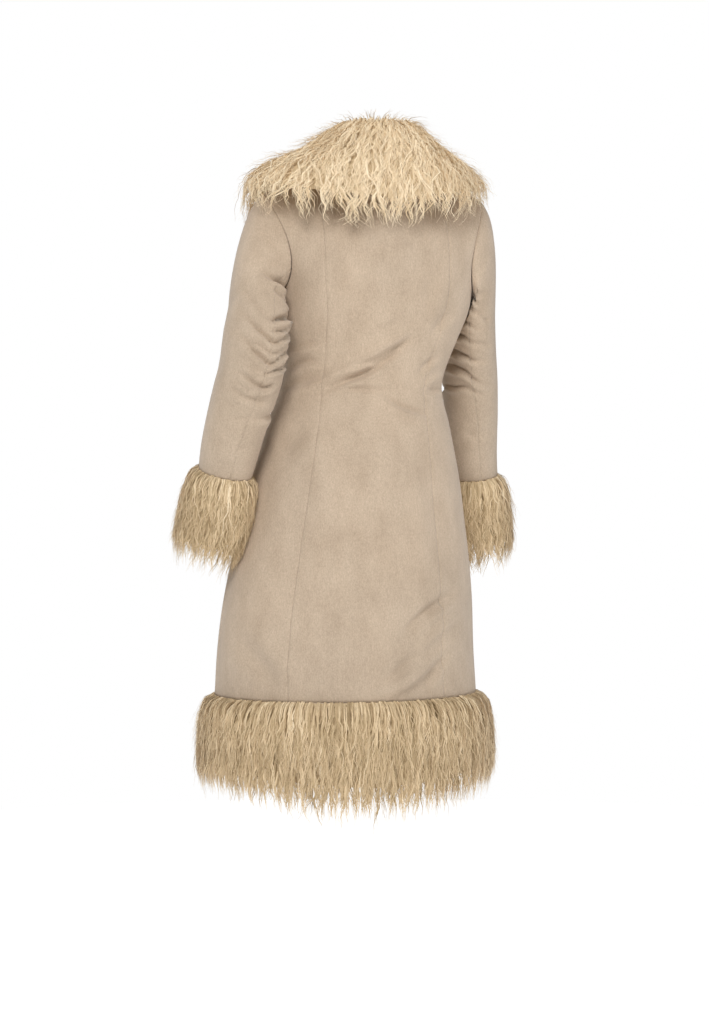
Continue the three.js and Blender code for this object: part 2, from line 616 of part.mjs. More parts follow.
function clothSolid(grid) {
  const inner = grid.map((row) =>
    row.map((p) => p.clone().addScaledVector(outwardAt(p), -WALL)));
  return solidBetween(drawIn(grid), drawIn(inner), false);
}

// Pile over a wall: the locks stand out and in by turns, and their tips end unevenly.
function pileSection(profile, number, salt, place) {
  const swell = 1 + LOCK_SWELL * (number % 2 ? 0.6 : -0.6) + LOCK_SWELL * 0.5 * scatter(number, salt);
  const jag = LOCK_JAG * ((number % 2 ? 0.6 : -0.6) + 0.4 * scatter(number, salt + 1));
  return profile.map(({ out, down }, i) => {
    const body = smooth((i - 0.5) / 1.5);
    return place(out * mix(1, swell, body), down, jag * clamp01(down) ** 2);
  });
}

function hemPile(face, side, firstShare, lastShare, salt) {
  const columns = Math.round(HEM_LOCK_COLUMNS * (side ? 0.5 : 1));
  const outer = [];
  const inner = [];
  for (let c = 0; c <= columns; c++) {
    const across = mix(firstShare, lastShare, c / columns);
    const on = side || Math.sign(across) || 1;
    const share = Math.abs(across);
    const at = (height, out) => {
      const p = bodyPoint(face, on, height, share);
      const turn = (share * Math.PI) / 2;
      return p.add(vec(on * Math.sin(turn) * out, face * Math.cos(turn) * out, 0));
    };
    const drop = HEM_BAND_DROP * mix(1, HEM_SIDE_DROP, smooth(share));
    outer.push(pileSection(HEM_PILE, c, salt, (out, down, jag) =>
      at(HEM_HEIGHT - SEAM_GAP - down * drop, out).add(vec(0, 0, jag))));
    const foot = HEM_HEIGHT - drop;
    inner.push([
      at(HEM_HEIGHT - 2 * SEAM_GAP, -WALL),
      at(mix(HEM_HEIGHT, foot, 0.5), -WALL),
      at(foot + PILE_DRAW_IN + LOCK_JAG, -WALL),
    ]);
  }
  return solidBetween(outer, inner, false);
}

function cuffPile(table, side, salt) {
  const arm = withShares(table, ["x", "y", "z"]);
  const end = armFrame(arm, side, 1);
  const outer = [];
  const inner = [];
  for (let c = 0; c < CUFF_LOCK_COLUMNS; c++) {
    const angle = (c * 2 * Math.PI) / CUFF_LOCK_COLUMNS;
    const at = (out, down) => {
      const p = end.middle.clone().addScaledVector(end.down, down);
      p.addScaledVector(end.out, (end.halfWidth + out) * Math.cos(angle));
      return p.addScaledVector(end.back, (end.halfDepth + out) * Math.sin(angle));
    };
    outer.push(pileSection(CUFF_PILE, c, salt, (out, down, jag) =>
      pushOffBody(at(out, SEAM_GAP + down * CUFF_DROP - jag), PILE_CLEARANCE)));
    inner.push([
      at(-WALL, SEAM_GAP),
      at(-WALL, CUFF_DROP / 2),
      at(-WALL, CUFF_DROP - PILE_DRAW_IN - LOCK_JAG),
    ]);
  }
  return solidBetween(outer, inner, true);
}

// The highest cloth under a spot, so that the collar lies clear of the shoulders and sleeve heads.
const shoulderPoints = clothPanels.flatMap(({ grid }) =>
  grid.flat().filter((p) => p.z > (2 * UNDERARM_HEIGHT) / 3));
function shoulderHeight(x, y) {
  let height = -Infinity;
  for (const p of shoulderPoints) {
    const near = Math.hypot(p.x - x, p.y - y);
    if (near < SHOULDER_SEARCH) height = Math.max(height, p.z - near * SHOULDER_FALL);
  }
  return height;
}

function collarPile() {
  const outer = [];
  const inner = [];
  const limit = COLLAR_SECTIONS[COLLAR_SECTIONS.length - 1].angle;
  for (let c = 0; c <= COLLAR_COLUMNS; c++) {
    const angle = mix(-limit, limit, c / COLLAR_COLUMNS);
    const s = readTable(COLLAR_SECTIONS, "angle", Math.abs(angle));
    const place = ([out, height], swell) => {
      const shift = COLLAR_SHIFT * smooth((out - 80) / 120);
      const spread = out * swell;
      const turn = radians(angle);
      return vec(shift + Math.sin(turn) * spread, Math.cos(turn) * spread, height);
    };
    const swell = 1 + COLLAR_SWELL * ((c % 2 ? 0.7 : -0.7) + 0.3 * scatter(c, 5));
    const jag = COLLAR_JAG * ((c % 2 ? 0.7 : -0.7) + 0.3 * scatter(c, 6));
    const inside = [s.roll[0] - NECK_ROLL_IN, mix(s.base[1], s.roll[1], 0.7)];
    const tip = [s.tip[0], s.tip[1] + jag];
    outer.push([
      place([s.base[0] - WALL, s.base[1] + COLLAR_CLEARANCE], 1),
      place(inside, 1),
      place(s.roll, 1),
      place(s.crown, swell),
      place(s.rim, swell),
      place(s.skirt, swell),
      place(tip, 1),
    ]);
    const under = [0, 0.34, 0.67, 1].map((t) => {
      const p = place([mix(s.base[0] + 2, s.tip[0] - 14, t), 0], 1);
      const rest = mix(s.base[1] + 2, s.tip[1] + 26, smooth(t));
      p.z = Math.max(rest, shoulderHeight(p.x, p.y) + COLLAR_CLEARANCE);
      return p;
    });
    inner.push(under);
  }
  return solidBetween(outer, inner, false);
}

const SUEDE = { color: 0xb9a68d, roughness: 0.95 };
const PILE = { color: 0xdccba9, roughness: 1 };
const coat = new THREE.Group();
coat.name = "afghan_coat";
const add = (name, geometry, finish) => {
  const mesh = new THREE.Mesh(geometry, new THREE.MeshStandardMaterial(finish));
  mesh.name = name;
  coat.add(mesh);
};
for (const { name, grid } of clothPanels) add(name, clothSolid(grid), SUEDE);
const hemEdge = shareAt(0, "edge");
const hemHalfWidth = readTable(BODY_SECTIONS, "height", HEM_HEIGHT).halfWidth;
const sideGap = SEAM_GAP / 2 / hemHalfWidth; // as a share of the half girth
add("fur_hem_back", hemPile(1, 0, sideGap - 1, 1 - sideGap, 1), PILE);
add("fur_hem_front_left", hemPile(-1, 1, hemEdge, 1 - sideGap, 2), PILE);
add("fur_hem_front_right", hemPile(-1, -1, hemEdge, 1 - sideGap, 3), PILE);
add("fur_cuff_left", cuffPile(LEFT_ARM, 1, 4), PILE);
add("fur_cuff_right", cuffPile(RIGHT_ARM, -1, 7), PILE);
add("fur_collar", collarPile(), PILE);

export default coat;
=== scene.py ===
"""A long, fitted afghan coat: suede-like cloth panels with a shaggy pile collar, cuffs and hem.

Sizes are in millimetres and become metres when a mesh is made. The panels lie on the same sections
of body and arms as the solids that they replace, with finer folds; the pile is grown in locks.
Faces are 1 behind and -1 in front, and sides are 1 on the wearer's left and -1 on their right.
"""

import math

import bpy
import mathutils
import numpy as np
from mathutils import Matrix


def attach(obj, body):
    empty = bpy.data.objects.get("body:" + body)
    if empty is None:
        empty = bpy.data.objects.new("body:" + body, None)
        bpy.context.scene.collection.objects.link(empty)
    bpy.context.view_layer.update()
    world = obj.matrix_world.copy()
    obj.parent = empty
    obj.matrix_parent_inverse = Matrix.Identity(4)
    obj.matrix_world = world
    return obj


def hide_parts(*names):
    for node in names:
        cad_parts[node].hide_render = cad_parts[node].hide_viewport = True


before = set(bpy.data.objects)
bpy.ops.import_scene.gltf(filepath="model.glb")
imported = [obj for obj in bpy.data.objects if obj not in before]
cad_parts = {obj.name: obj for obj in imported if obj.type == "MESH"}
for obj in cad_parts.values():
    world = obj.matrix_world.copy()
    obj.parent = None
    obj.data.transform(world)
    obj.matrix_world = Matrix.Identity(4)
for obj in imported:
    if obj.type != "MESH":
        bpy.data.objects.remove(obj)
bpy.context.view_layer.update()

MM = 0.001

# Cloth and its seams.
WALL = 2.0  # thickness of the cloth
SEAM_GAP = 0.16  # between two pieces that are sewn together
SEAM_ROLL = 0.8  # the cloth dips by this much into a seam
ARM_SEAM_ROLL = 0.25  # the same along a sleeve
SEAM_ROLL_WIDTH = 2.6
PUCKER = {"height": 0.45, "length": 15.0, "drift": 31.0, "from_seam": 5.0, "width": 6.0}
CLOTH_STEP = 6.0  # between the rows of points of a panel
WAIST_STEP = 3.0  # the same where the cloth creases at the waist
WAIST_CREASES = (-456.0, -246.0)
SEAM_CROWDING = 0.75  # makes the columns of points stand closer together at the seams

# Body below the underarm, with the edges of the fronts.
HEM_HEIGHT = -950.0
UNDERARM_HEIGHT = -226.0
FRONT_PARTS_BELOW = -470.0
FRONT_PARTING = 22.0  # from each front edge to the middle, at the hem
FRONT_MEETING = 0.5  # the same where the fronts meet
SIDE_FADE = 4.0  # creases fade over the last quarter of the way to the side seam

# Yoke, from the underarm (row 0) to the neckline and shoulders (row 10).
YOKE_ROWS = 10
YOKE_FLAT_ROWS = 4
YOKE_LINES = 46  # rows of points in it
YOKE_SEAM_OUT = 116.0
SHOULDER_AXIS = 3.0
SHOULDER_SEAM_SHARE = 0.6
NECK_SIDE = {"out": 74.0, "depth": 4.0, "height": 8.0}
NECK_SHARE = 0.36
JOIN = {"weight": 0.5, "side_fade": 5.0, "rows": 8, "rounds": 30}  # rounds the underarm's bend

# Sleeves, in columns round the arm from its outer side.
SLEEVE_HEAD_ROWS = 34
ARM_ROWS = 108
HANDS = ((1, "left"), (-1, "right"))
ARM_STEP = 0.02  # share of the arm over which its direction is measured
SLEEVE_COLUMNS = 20
BACK_SEAM_COLUMN = 7
FRONT_SEAM_COLUMN = 13
HEAD_SEAM_DRIFT = -14.0  # degrees that the seams turn round the arm
CUFF_SEAM_DRIFT = -38.0
LEAVE_TIP = {"out": 0.84, "down": 0.54, "keep": 0.19}  # way off the shoulder
LEAVE_FOOT = {"out": 0.57, "down": 0.82, "keep": 0.5}  # way off the underarm
CAP_ARRIVE = 0.36
SLEEVE_CLEARANCE = 3.0
CLEARANCE_GROWTH = 0.2  # from half of it at the underarm, for each mm further down
HEAD_FADE_ROWS = 16  # creases fade towards the armhole and the cuff
CUFF_FADE_ROWS = 14


def mix(a, b, t):
    return a + (b - a) * t


def smooth(t):
    t = np.clip(t, 0, 1)
    return t * t * (3 - 2 * t)


def bump(offset, width):
    return np.exp(-((offset / width) ** 2))


def unit(vectors):
    return vectors / np.maximum(np.linalg.norm(vectors, axis=-1, keepdims=True), 1e-9)


def square_to(way, *others):
    """The direction that is left of way when others, square to each other, are taken out."""
    for other in others:
        way = way - other * np.sum(way * other, axis=-1, keepdims=True)
    return unit(way)


def points_of(x, y, z):
    """Points of three coordinates, each an array or a number."""
    return np.stack(np.broadcast_arrays(x, y, z), axis=-1)

def rows_of(names, text):
    """Dictionaries with these names, one for each line of numbers."""
    return [
        dict(zip(names.split(), map(float, line.split()))) for line in text.strip().split("\n")]


def late(t, start):
    """Rises from 0 at start to 1 at 1."""
    return smooth((t - start) / (1 - start))


class Table:
    """Rows with named columns, read anywhere between them on a smooth curve."""

    def __init__(self, names, rows):
        self.columns = dict(zip(names.split(), np.array(rows, float).T))

    def with_shares(self, *names):
        """Adds a column that runs from 0 to 1 along the line that the named columns draw."""
        steps = np.sqrt(sum(np.diff(self.columns[name]) ** 2 for name in names))
        runs = np.concatenate([[0], np.cumsum(steps)])
        self.columns["share"] = runs / runs[-1]
        return self

    def read(self, key, value):
        keys = self.columns[key]
        sign = 1 if keys[1] > keys[0] else -1
        value = np.asarray(value, float)
        low = np.searchsorted(sign * keys, sign * value, side="right") - 1
        low = np.clip(low, 0, len(keys) - 2)
        span = keys[low + 1] - keys[low]
        t = (value - keys[low]) / span
        out = {}
        for name, entries in self.columns.items():
            slopes = np.zeros_like(entries)
            slopes[1:-1] = (entries[2:] - entries[:-2]) / (keys[2:] - keys[:-2])
            slopes[0] = (entries[1] - entries[0]) / (keys[1] - keys[0])
            slopes[-1] = (entries[-1] - entries[-2]) / (keys[-1] - keys[-2])
            out[name] = (
                (2 * t**3 - 3 * t**2 + 1) * entries[low]
                + (t**3 - 2 * t**2 + t) * slopes[low] * span
                + (3 * t**2 - 2 * t**3) * entries[low + 1]
                + (t**3 - t**2) * slopes[low + 1] * span
            )
        return out


# Horizontal sections of the body: x of its middle, half width, depth behind and before, back seam.
BODY = Table("height axis half_width back front seam", [
    (-1160, 51, 248, 196, 184, 146),
    (-950, 52, 240, 188, 177, 143),
    (-874, 52, 236, 182, 171, 141),
    (-783, 48, 229, 174, 163, 136),
    (-692, 42, 216, 165, 152, 127),
    (-637, 38, 206, 158, 145, 121),
    (-564, 34, 193, 149, 136, 112),
    (-498, 30, 177, 136, 128, 104),
    (-457, 28, 167, 125, 123, 99),
    (-419, 25, 154, 113, 118, 96),
    (-391, 22, 149, 106, 116, 95),
    (-360, 15, 149, 104, 117, 97),
    (-309, 6, 161, 108, 125, 104),
    (-262, -1, 174, 115, 131, 110),
    (-226, -4, 180, 119, 133, 114),
])
YOKE_CENTRES = {
    1: Table("height depth", [
        (-226, 119), (-176, 121), (-126, 118), (-78, 107), (-32, 86), (8, 60),
    ]),
    -1: Table("height depth", [(-226, 133), (-186, 131), (-148, 124), (-108, 108), (-70, 88)]),
}
ARMHOLES = {
    1: Table("out depth height", [
        (180, 0, -226), (176, 27, -220), (170, 47, -202), (168, 59, -174), (173, 62, -143),
        (181, 57, -114), (191, 46, -87), (199, 27, -62), (202, 0, -48),
    ]),
    -1: Table("out depth height", [
        (180, 0, -226), (175, 25, -220), (167, 45, -202), (161, 58, -174), (161, 62, -143),
        (168, 57, -114), (181, 44, -87), (194, 22, -62), (202, 0, -48),
    ]),
}
for table in YOKE_CENTRES.values():
    table.with_shares("depth", "height")
for table in ARMHOLES.values():
    table.with_shares("out", "depth", "height")
ARMS = {
    1: Table("x y z half_width half_depth", [
        (224, 38, -256, 52, 63), (231, 60, -300, 58, 64), (243, 69, -371, 58, 62),
        (254, 67, -411, 57, 60), (269, 57, -471, 54, 56), (277, 48, -511, 52, 53),
        (283, 37, -550, 48, 50),
    ]).with_shares("x", "y", "z"),
    -1: Table("x y z half_width half_depth", [
        (-197, -46, -262, 46, 62), (-202, -63, -316, 48, 62), (-209, -82, -380, 51, 60),
        (-214, -91, -437, 50, 56), (-218, -103, -510, 48, 52), (-224, -112, -560, 46, 50),
    ]).with_shares("x", "y", "z"),
}

# Creases of the body, each from one end to the other: x and height of both ends, width, depth (over
# 0 a ridge), and how far its middle bends aside.
BODY_CREASES = {
    1: rows_of("x0 z0 x1 z1 width depth bow", """
126 -388 -28 -306 8 4 -7
104 -396 -16 -334 5 -4.6 -8
74 -366 -40 -312 4.4 -3.2 -4
62 -352 -34 -300 5 1.8 -3
36 -358 -22 -330 4 -2.4 -3
24 -338 -26 -316 4 -1.8 -2
90 -330 52 -298 7 -1.6 -4
18 -264 -30 -249 5 -2.2 3
34 -296 -14 -272 6 1.6 3
52 -172 14 -138 12 -3 4
72 -210 40 -150 12 2 5
-70 -262 -96 -190 12 -1.8 5
188 -402 118 -376 8 -3.4 2
170 -352 138 -330 8 2.6 8
176 -368 122 -350 6 -2.8 6
160 -336 120 -318 6 -2 6
112 -392 -24 -397 5 1.4 3
100 -402 10 -408 4 -1.3 3
20 -404 -74 -444 5 -2.6 -9
6 -424 -58 -452 6 1.6 -7
-60 -372 -100 -340 6 -2.2 2
-74 -392 -118 -372 6 2.2 0
-84 -404 -120 -396 5 -2.2 0
-86 -300 -128 -262 9 -2.2 4
150 -470 186 -520 12 -2.4 6
-6 -836 -116 -766 8 -5 8
-20 -872 -128 -800 11 2.4 4
18 -940 -66 -880 9 4.2 0
44 -930 -36 -866 8 -4.4 0
-44 -930 -104 -872 8 -2.6 3
248 -826 188 -904 13 3.4 0
262 -858 214 -925 11 -3 0
-60 -540 -96 -700 22 -2.2 6
126 -520 150 -760 24 2 -6
60 -600 96 -780 20 -1.6 8
"""),
    -1: rows_of("x0 z0 x1 z1 width depth bow", """
110 -380 10 -342 8 -3.6 -6
98 -364 6 -324 7 2.8 -5
76 -348 14 -312 6 -2.2 -4
-86 -378 4 -348 7 3.4 -6
-96 -392 -8 -364 6 -3.2 -6
-104 -404 -16 -402 6 -2.8 3
126 -404 40 -400 6 2.4 4
-120 -300 -150 -236 9 -3 6
112 -300 148 -236 9 -3 -6
-60 -210 -110 -150 12 -2.4 -6
64 -206 112 -150 12 -2.4 6
190 -640 160 -900 22 -4 6
-70 -660 -110 -920 22 -4 -6
-160 -700 -176 -950 16 4 0
120 -720 100 -950 16 3.2 0
"""),
}
# Hanging creases of the sleeves: heights at the outer side, at the lowest point and at the inner
# side. first and last say where round the half sleeve a crease runs, from outer (0) to inner (1).
SLEEVE_CREASES = {
    1: rows_of("face outer low inner width depth first last", """
1 -112 -164 -190 6 -4.6 0 1
1 -150 -184 -206 4 -2.4 0.3 1
1 -186 -204 -232 5 -5 0.25 1
1 -214 -226 -252 4 -3.2 0.6 1
1 -206 -278 -276 5.5 -5.6 0.1 1
1 -250 -300 -290 3.6 -2.4 0.4 1
1 -240 -319 -305 5.5 -6 0.05 1
1 -290 -337 -320 4 -2.8 0.3 0.95
1 -290 -355 -338 5.5 -5.6 0 1
1 -338 -377 -358 4 -3 0.2 1
1 -360 -399 -380 5.5 -4.6 0 0.9
1 -378 -410 -396 4 -2.2 0.05 0.6
1 -397 -424 -411 6 -3.4 0 0.8
1 -446 -458 -446 8 -2.2 0.2 1
1 -500 -506 -500 8 -1.6 0 0.7
-1 -150 -196 -206 7 -4 0.2 1
-1 -210 -262 -250 6 -5 0.1 1
-1 -244 -292 -284 5 -3 0.3 1
-1 -282 -326 -318 6 -5 0 1
-1 -344 -380 -372 7 -4.4 0 1
-1 -404 -430 -420 8 -3 0 0.9
"""),
    -1: rows_of("face outer low inner width depth first last", """
1 -150 -186 -218 7 -3.4 0.3 1
1 -232 -222 -208 5 -3.6 0.35 1
1 -250 -240 -226 4 -2.6 0.5 1
1 -276 -258 -238 5 -4.4 0.2 1
1 -300 -284 -268 4 -2.8 0.45 1
1 -326 -310 -296 5 -4 0.2 1
1 -356 -342 -326 5 -3.6 0.3 1
1 -400 -378 -350 6 -3.8 0.1 1
1 -420 -402 -388 5 -2.2 0.4 1
1 -470 -480 -470 9 -1.8 0 0.8
-1 -262 -306 -292 6 -5 0 1
-1 -290 -330 -316 5 -3 0.3 1
-1 -318 -356 -346 6 -5 0 1
-1 -372 -408 -396 7 -4.4 0 1
-1 -430 -452 -446 8 -3 0 0.9
"""),
}

BODY_CREASE_STRENGTH = 2.0  # creases are this much deeper than their tables say
SLEEVE_CREASE_STRENGTH = 2.1
CREASE_RIDGE = 0.5  # the cloth swells beside a trough by this share of its depth
BODY_RIDGE = {"at": 1.9, "width": 1.0}  # where it swells and how broadly, by the crease's width
SLEEVE_RIDGE = {"at": 2.1, "width": 1.5}
CREASE_END = {"keep": 0.25, "power": 0.7, "reach": 1.4}  # how a crease of the body runs out
HEM_SEAM_REACH = 26.0  # the seam holds the cloth flat this far above the hem band

# Broad, low unevenness of hanging cloth, as waves with these lengths across and down, over 2 pi.
SLOW_WAVES = rows_of("height across down shift bend", """
0.9 41 inf 1.7 0.8
0.7 88 63 2.3 0
0.4 -23 29 0.9 0
""")
SLOW_BEND_LENGTH = 97.0

# The sleeve's creases change on the way inward, from the outer (0) to the inner side (1).
SLEEVE_WAVES = {"share": 0.6, "radius": 55.0, "salt": 3, "side_fade": 2.0}
SLEEVE_STRENGTH = {"start": 0.12, "rise": 2.2, "outer": 0.62, "inner": 1.7, "at": 0.5, "over": 0.45}
SLEEVE_WIDTH = {"outer": 1.15, "inner": 0.62}
SLEEVE_LOWEST = 0.62  # where a crease hangs lowest
SLEEVE_CREASE_END = 0.14
SLEEVE_WOBBLE = {"low": (2.6, 4), "outer": (1.2, 9)}  # height, and waves round the sleeve
SLEEVE_UNEVEN = {"share": 0.45, "waves": 7}


def crease_profile(offset, width, ridge):
    """A trough with the swell of cloth beside it, on the side where offset is over 0."""
    swell = bump(offset - ridge["at"] * width, ridge["width"] * width)
    return bump(offset, width) - CREASE_RIDGE * swell


def slow_waves(x, z, salt):
    """Height of the slow waves; each salt gives a pattern of its own."""
    bend = np.sin(z / SLOW_BEND_LENGTH + salt)
    return sum(
        w["height"] * np.sin(x / w["across"] + z / w["down"] + w["shift"] * salt + w["bend"] * bend)
        for w in SLOW_WAVES)


def body_crease(face, x, z):
    """Height of the cloth over the smooth body, with its slow waves and its creases."""
    lift = slow_waves(x, z, face)
    for crease in BODY_CREASES[face]:
        width = crease["width"]
        from_x, from_z = x - crease["x0"], z - crease["z0"]
        dx, dz = crease["x1"] - crease["x0"], crease["z1"] - crease["z0"]
        length = math.hypot(dx, dz)
        along = (from_x * dx + from_z * dz) / length**2
        middle = np.sin(math.pi * np.clip(along, 0, 1))
        aside = (from_x * dz - from_z * dx) / length * np.sign(dx) + crease["bow"] * middle
        past = np.maximum(np.abs(along - 0.5) - 0.5, 0) * length
        fade = mix(CREASE_END["keep"], 1, middle ** CREASE_END["power"])
        fade = fade * bump(past, width * CREASE_END["reach"])
        profile = crease_profile(aside, width, BODY_RIDGE)
        lift = lift + BODY_CREASE_STRENGTH * crease["depth"] * profile * fade
    return lift


def body_point(face, side, height, share, out=0.0, creased=True):
    """A point of the body below the underarm; share runs from the centre to the side seam."""
    s = BODY.read("height", height)
    turn = share * math.pi / 2
    depth = s["back"] if face > 0 else s["front"]
    x = s["axis"] + side * s["half_width"] * np.sin(turn)
    y = face * depth * np.cos(turn)
    if creased:
        by_hem = smooth((height - HEM_HEIGHT) / HEM_SEAM_REACH)
        out = out + body_crease(face, x, height) * smooth((1 - share) * SIDE_FADE) * by_hem
    return points_of(x + side * np.sin(turn) * out, y + face * np.cos(turn) * out, height + 0 * x)


def yoke_axis(share):
    """x of the yoke's middle, which moves over from the body to the neck."""
    return mix(BODY.columns["axis"][-1], SHOULDER_AXIS, share)


def armhole_point(face, side, row):
    """A point of the armhole's edge beside this row of the yoke."""
    share = row / YOKE_ROWS
    a = ARMHOLES[face].read("share", share)
    return points_of(yoke_axis(share) + side * a["out"], face * a["depth"], a["height"])


def yoke_lift(row):
    """How far a row has left the round body (0) for the neckline and shoulders (1)."""
    return smooth((row - YOKE_FLAT_ROWS) / (YOKE_ROWS - YOKE_FLAT_ROWS))


def yoke_arc(face, row):
    """The ellipse of a row: its turn at the armhole and its half width."""
    centre = YOKE_CENTRES[face].read("share", row / YOKE_ROWS)
    edge = ARMHOLES[face].read("share", row / YOKE_ROWS)
    last_turn = np.arccos(np.clip(edge["depth"] / centre["depth"], 0, 1))
    return last_turn, edge["out"] / np.sin(last_turn)


def yoke_point(face, side, row, share):
    """A point of the yoke; share runs from the centre to the armhole."""
    centre = YOKE_CENTRES[face].read("share", row / YOKE_ROWS)
    edge = armhole_point(face, side, row)
    axis = yoke_axis(row / YOKE_ROWS)
    last_turn, half_width = yoke_arc(face, row)
    arc = points_of(
        axis + side * half_width * np.sin(share * last_turn),
        face * centre["depth"] * np.cos(share * last_turn),
        mix(centre["height"], edge[..., 2], smooth(share)),
    )
    neck_turn = np.clip(share / NECK_SHARE, 0, 1) * math.pi / 2
    neck = points_of(
        axis + side * NECK_SIDE["out"] * np.sin(neck_turn),
        mix(NECK_SIDE["depth"] * face, face * centre["depth"], np.cos(neck_turn)),
        mix(centre["height"], NECK_SIDE["height"], 1 - np.cos(neck_turn)),
    )
    along = np.clip((share - NECK_SHARE) / (1 - NECK_SHARE), 0, 1)[..., None]
    top = mix(neck, edge, along)
    lift = body_crease(face, arc[..., 0], arc[..., 2]) * smooth((1 - share) * SIDE_FADE)
    turn = share * last_turn
    arc = arc + points_of(side * np.sin(turn), face * np.cos(turn), 0 * turn) * lift[..., None]
    point = mix(arc, top, (yoke_lift(row) + 0 * share)[..., None])
    on_shoulder = (row >= YOKE_ROWS) & (share > NECK_SHARE)
    point[..., 1] = np.where(on_shoulder, 0, point[..., 1])
    return point


body_rows = np.concatenate([
    np.arange(HEM_HEIGHT, WAIST_CREASES[0], CLOTH_STEP),
    np.arange(WAIST_CREASES[0], WAIST_CREASES[1], WAIST_STEP),
    np.arange(WAIST_CREASES[1], UNDERARM_HEIGHT, CLOTH_STEP),
])
yoke_rows = np.linspace(0, YOKE_ROWS, YOKE_LINES)


def seam_share():
    """Share of the half girth at which the back seam stands in each row."""
    s = BODY.read("height", body_rows)
    low = 2 / math.pi * np.arcsin(s["seam"] / s["half_width"])
    last_turn, half_width = yoke_arc(1, yoke_rows)
    high = np.arcsin(YOKE_SEAM_OUT / half_width) / last_turn
    return np.concatenate([low, mix(high, SHOULDER_SEAM_SHARE, yoke_lift(yoke_rows))])


def front_edge_share(height):
    """Share of the half girth at which a front's edge stands."""
    open_share = np.clip((FRONT_PARTS_BELOW - height) / (FRONT_PARTS_BELOW - HEM_HEIGHT), 0, 1)
    edge = mix(FRONT_MEETING, FRONT_PARTING, open_share**1.5)
    return 2 / math.pi * np.arcsin(edge / BODY.read("height", height)["half_width"])


def across(count):
    """Positions from 0 to 1, closer together towards both seams."""
    t = np.linspace(0, 1, count + 1)
    return t - SEAM_CROWDING * np.sin(2 * math.pi * t) / (2 * math.pi)


def ease_join(grid, join, share):
    """Rounds the bend in the grid near the row join, fading out towards the side seams."""
    near = bump(np.arange(len(grid)) - join, JOIN["rows"])[:, None]
    weight = (JOIN["weight"] * smooth((1 - share) * JOIN["side_fade"]) * near)[1:-1, :, None]
    for _ in range(JOIN["rounds"]):
        grid[1:-1] = mix(grid[1:-1], (grid[:-2] + grid[2:]) / 2, weight)
    return grid


def body_grid(face, side, share):
    """Points of a panel of the body in rows from the hem up."""
    lower = len(body_rows)
    side = np.broadcast_to(side, share.shape)
    low = body_point(face, side[:lower], body_rows[:, None], share[:lower])
    high = yoke_point(face, side[lower:], yoke_rows[:, None], share[lower:])
    return ease_join(np.concatenate([low, high]), lower, share)


def push_off_body(points, clearance):
    """Moves points that would stand in the body, or closer to it than this, straight out."""
    x, y, z = points[..., 0], points[..., 1], points[..., 2]
    s = BODY.read("height", np.minimum(z, UNDERARM_HEIGHT))
    below = UNDERARM_HEIGHT - z
    ease = np.minimum(clearance, clearance / 2 + below * CLEARANCE_GROWTH)
    depth = np.where(y > 0, s["back"], s["front"]) + ease
    reach = np.hypot((x - s["axis"]) / (s["half_width"] + ease), y / depth)
    safe = np.where((reach < 1) & (below > 0), np.maximum(reach, 1e-3), 1)
    return np.stack([s["axis"] + (x - s["axis"]) / safe, y / safe, z], axis=-1)


def arm_frame(side, share):
    """Middle, down, outward and backward directions and section of a sleeve along its length."""
    arm = ARMS[side]
    share = np.asarray(share, float)
    at = arm.read("share", share)
    ahead = arm.read("share", np.minimum(1, share + ARM_STEP))
    behind = arm.read("share", np.maximum(0, share - ARM_STEP))
    down = unit(np.stack([ahead[k] - behind[k] for k in "xyz"], axis=-1))
    out = square_to(np.array([side, 0, 0]), down)
    back = square_to(np.array([0, 1, 0]), down, out)
    middle = np.stack([at[k] for k in "xyz"], axis=-1)
    return middle, down, out, back, at["half_width"], at["half_depth"]


def sleeve_crease(side, angle, z):
    """Height of the creases over the smooth sleeve; angle runs round it from its outer side."""
    face = np.where(np.sin(angle) >= 0, 1, -1)
    from_sides = np.abs(np.sin(angle))
    inward = (1 - np.cos(angle)) / 2
    look = SLEEVE_STRENGTH
    strength = np.sqrt(from_sides) * smooth(inward * look["rise"] + look["start"])
    grown = smooth((inward - look["at"]) / look["over"])
    strength = strength * mix(look["outer"], look["inner"], grown)
    waves = slow_waves(angle * SLEEVE_WAVES["radius"], z, SLEEVE_WAVES["salt"] + side)
    lift = SLEEVE_WAVES["share"] * waves * smooth(from_sides * SLEEVE_WAVES["side_fade"])
    for crease in SLEEVE_CREASES[side]:
        line = list(zip((0, SLEEVE_LOWEST, 1), (crease["outer"], crease["low"], crease["inner"])))
        height = Table("at z", line).read("at", inward)["z"]
        for shift, (swing, turns) in SLEEVE_WOBBLE.items():
            height = height + swing * np.sin(angle * turns + crease[shift])
        first, last = crease["first"], crease["last"]
        shown = smooth((inward - first) / SLEEVE_CREASE_END + (first <= 0))
        shown = shown * smooth((last - inward) / SLEEVE_CREASE_END + (last >= 1))
        waving = np.sin(SLEEVE_UNEVEN["waves"] * inward + crease["outer"])
        depth = crease["depth"] * (1 + SLEEVE_UNEVEN["share"] * waving) * shown
        width = crease["width"] * mix(SLEEVE_WIDTH["outer"], SLEEVE_WIDTH["inner"], inward)
        profile = crease_profile(height - z, width, SLEEVE_RIDGE) * (face == crease["face"])
        lift = lift + SLEEVE_CREASE_STRENGTH * depth * profile * strength
    return lift


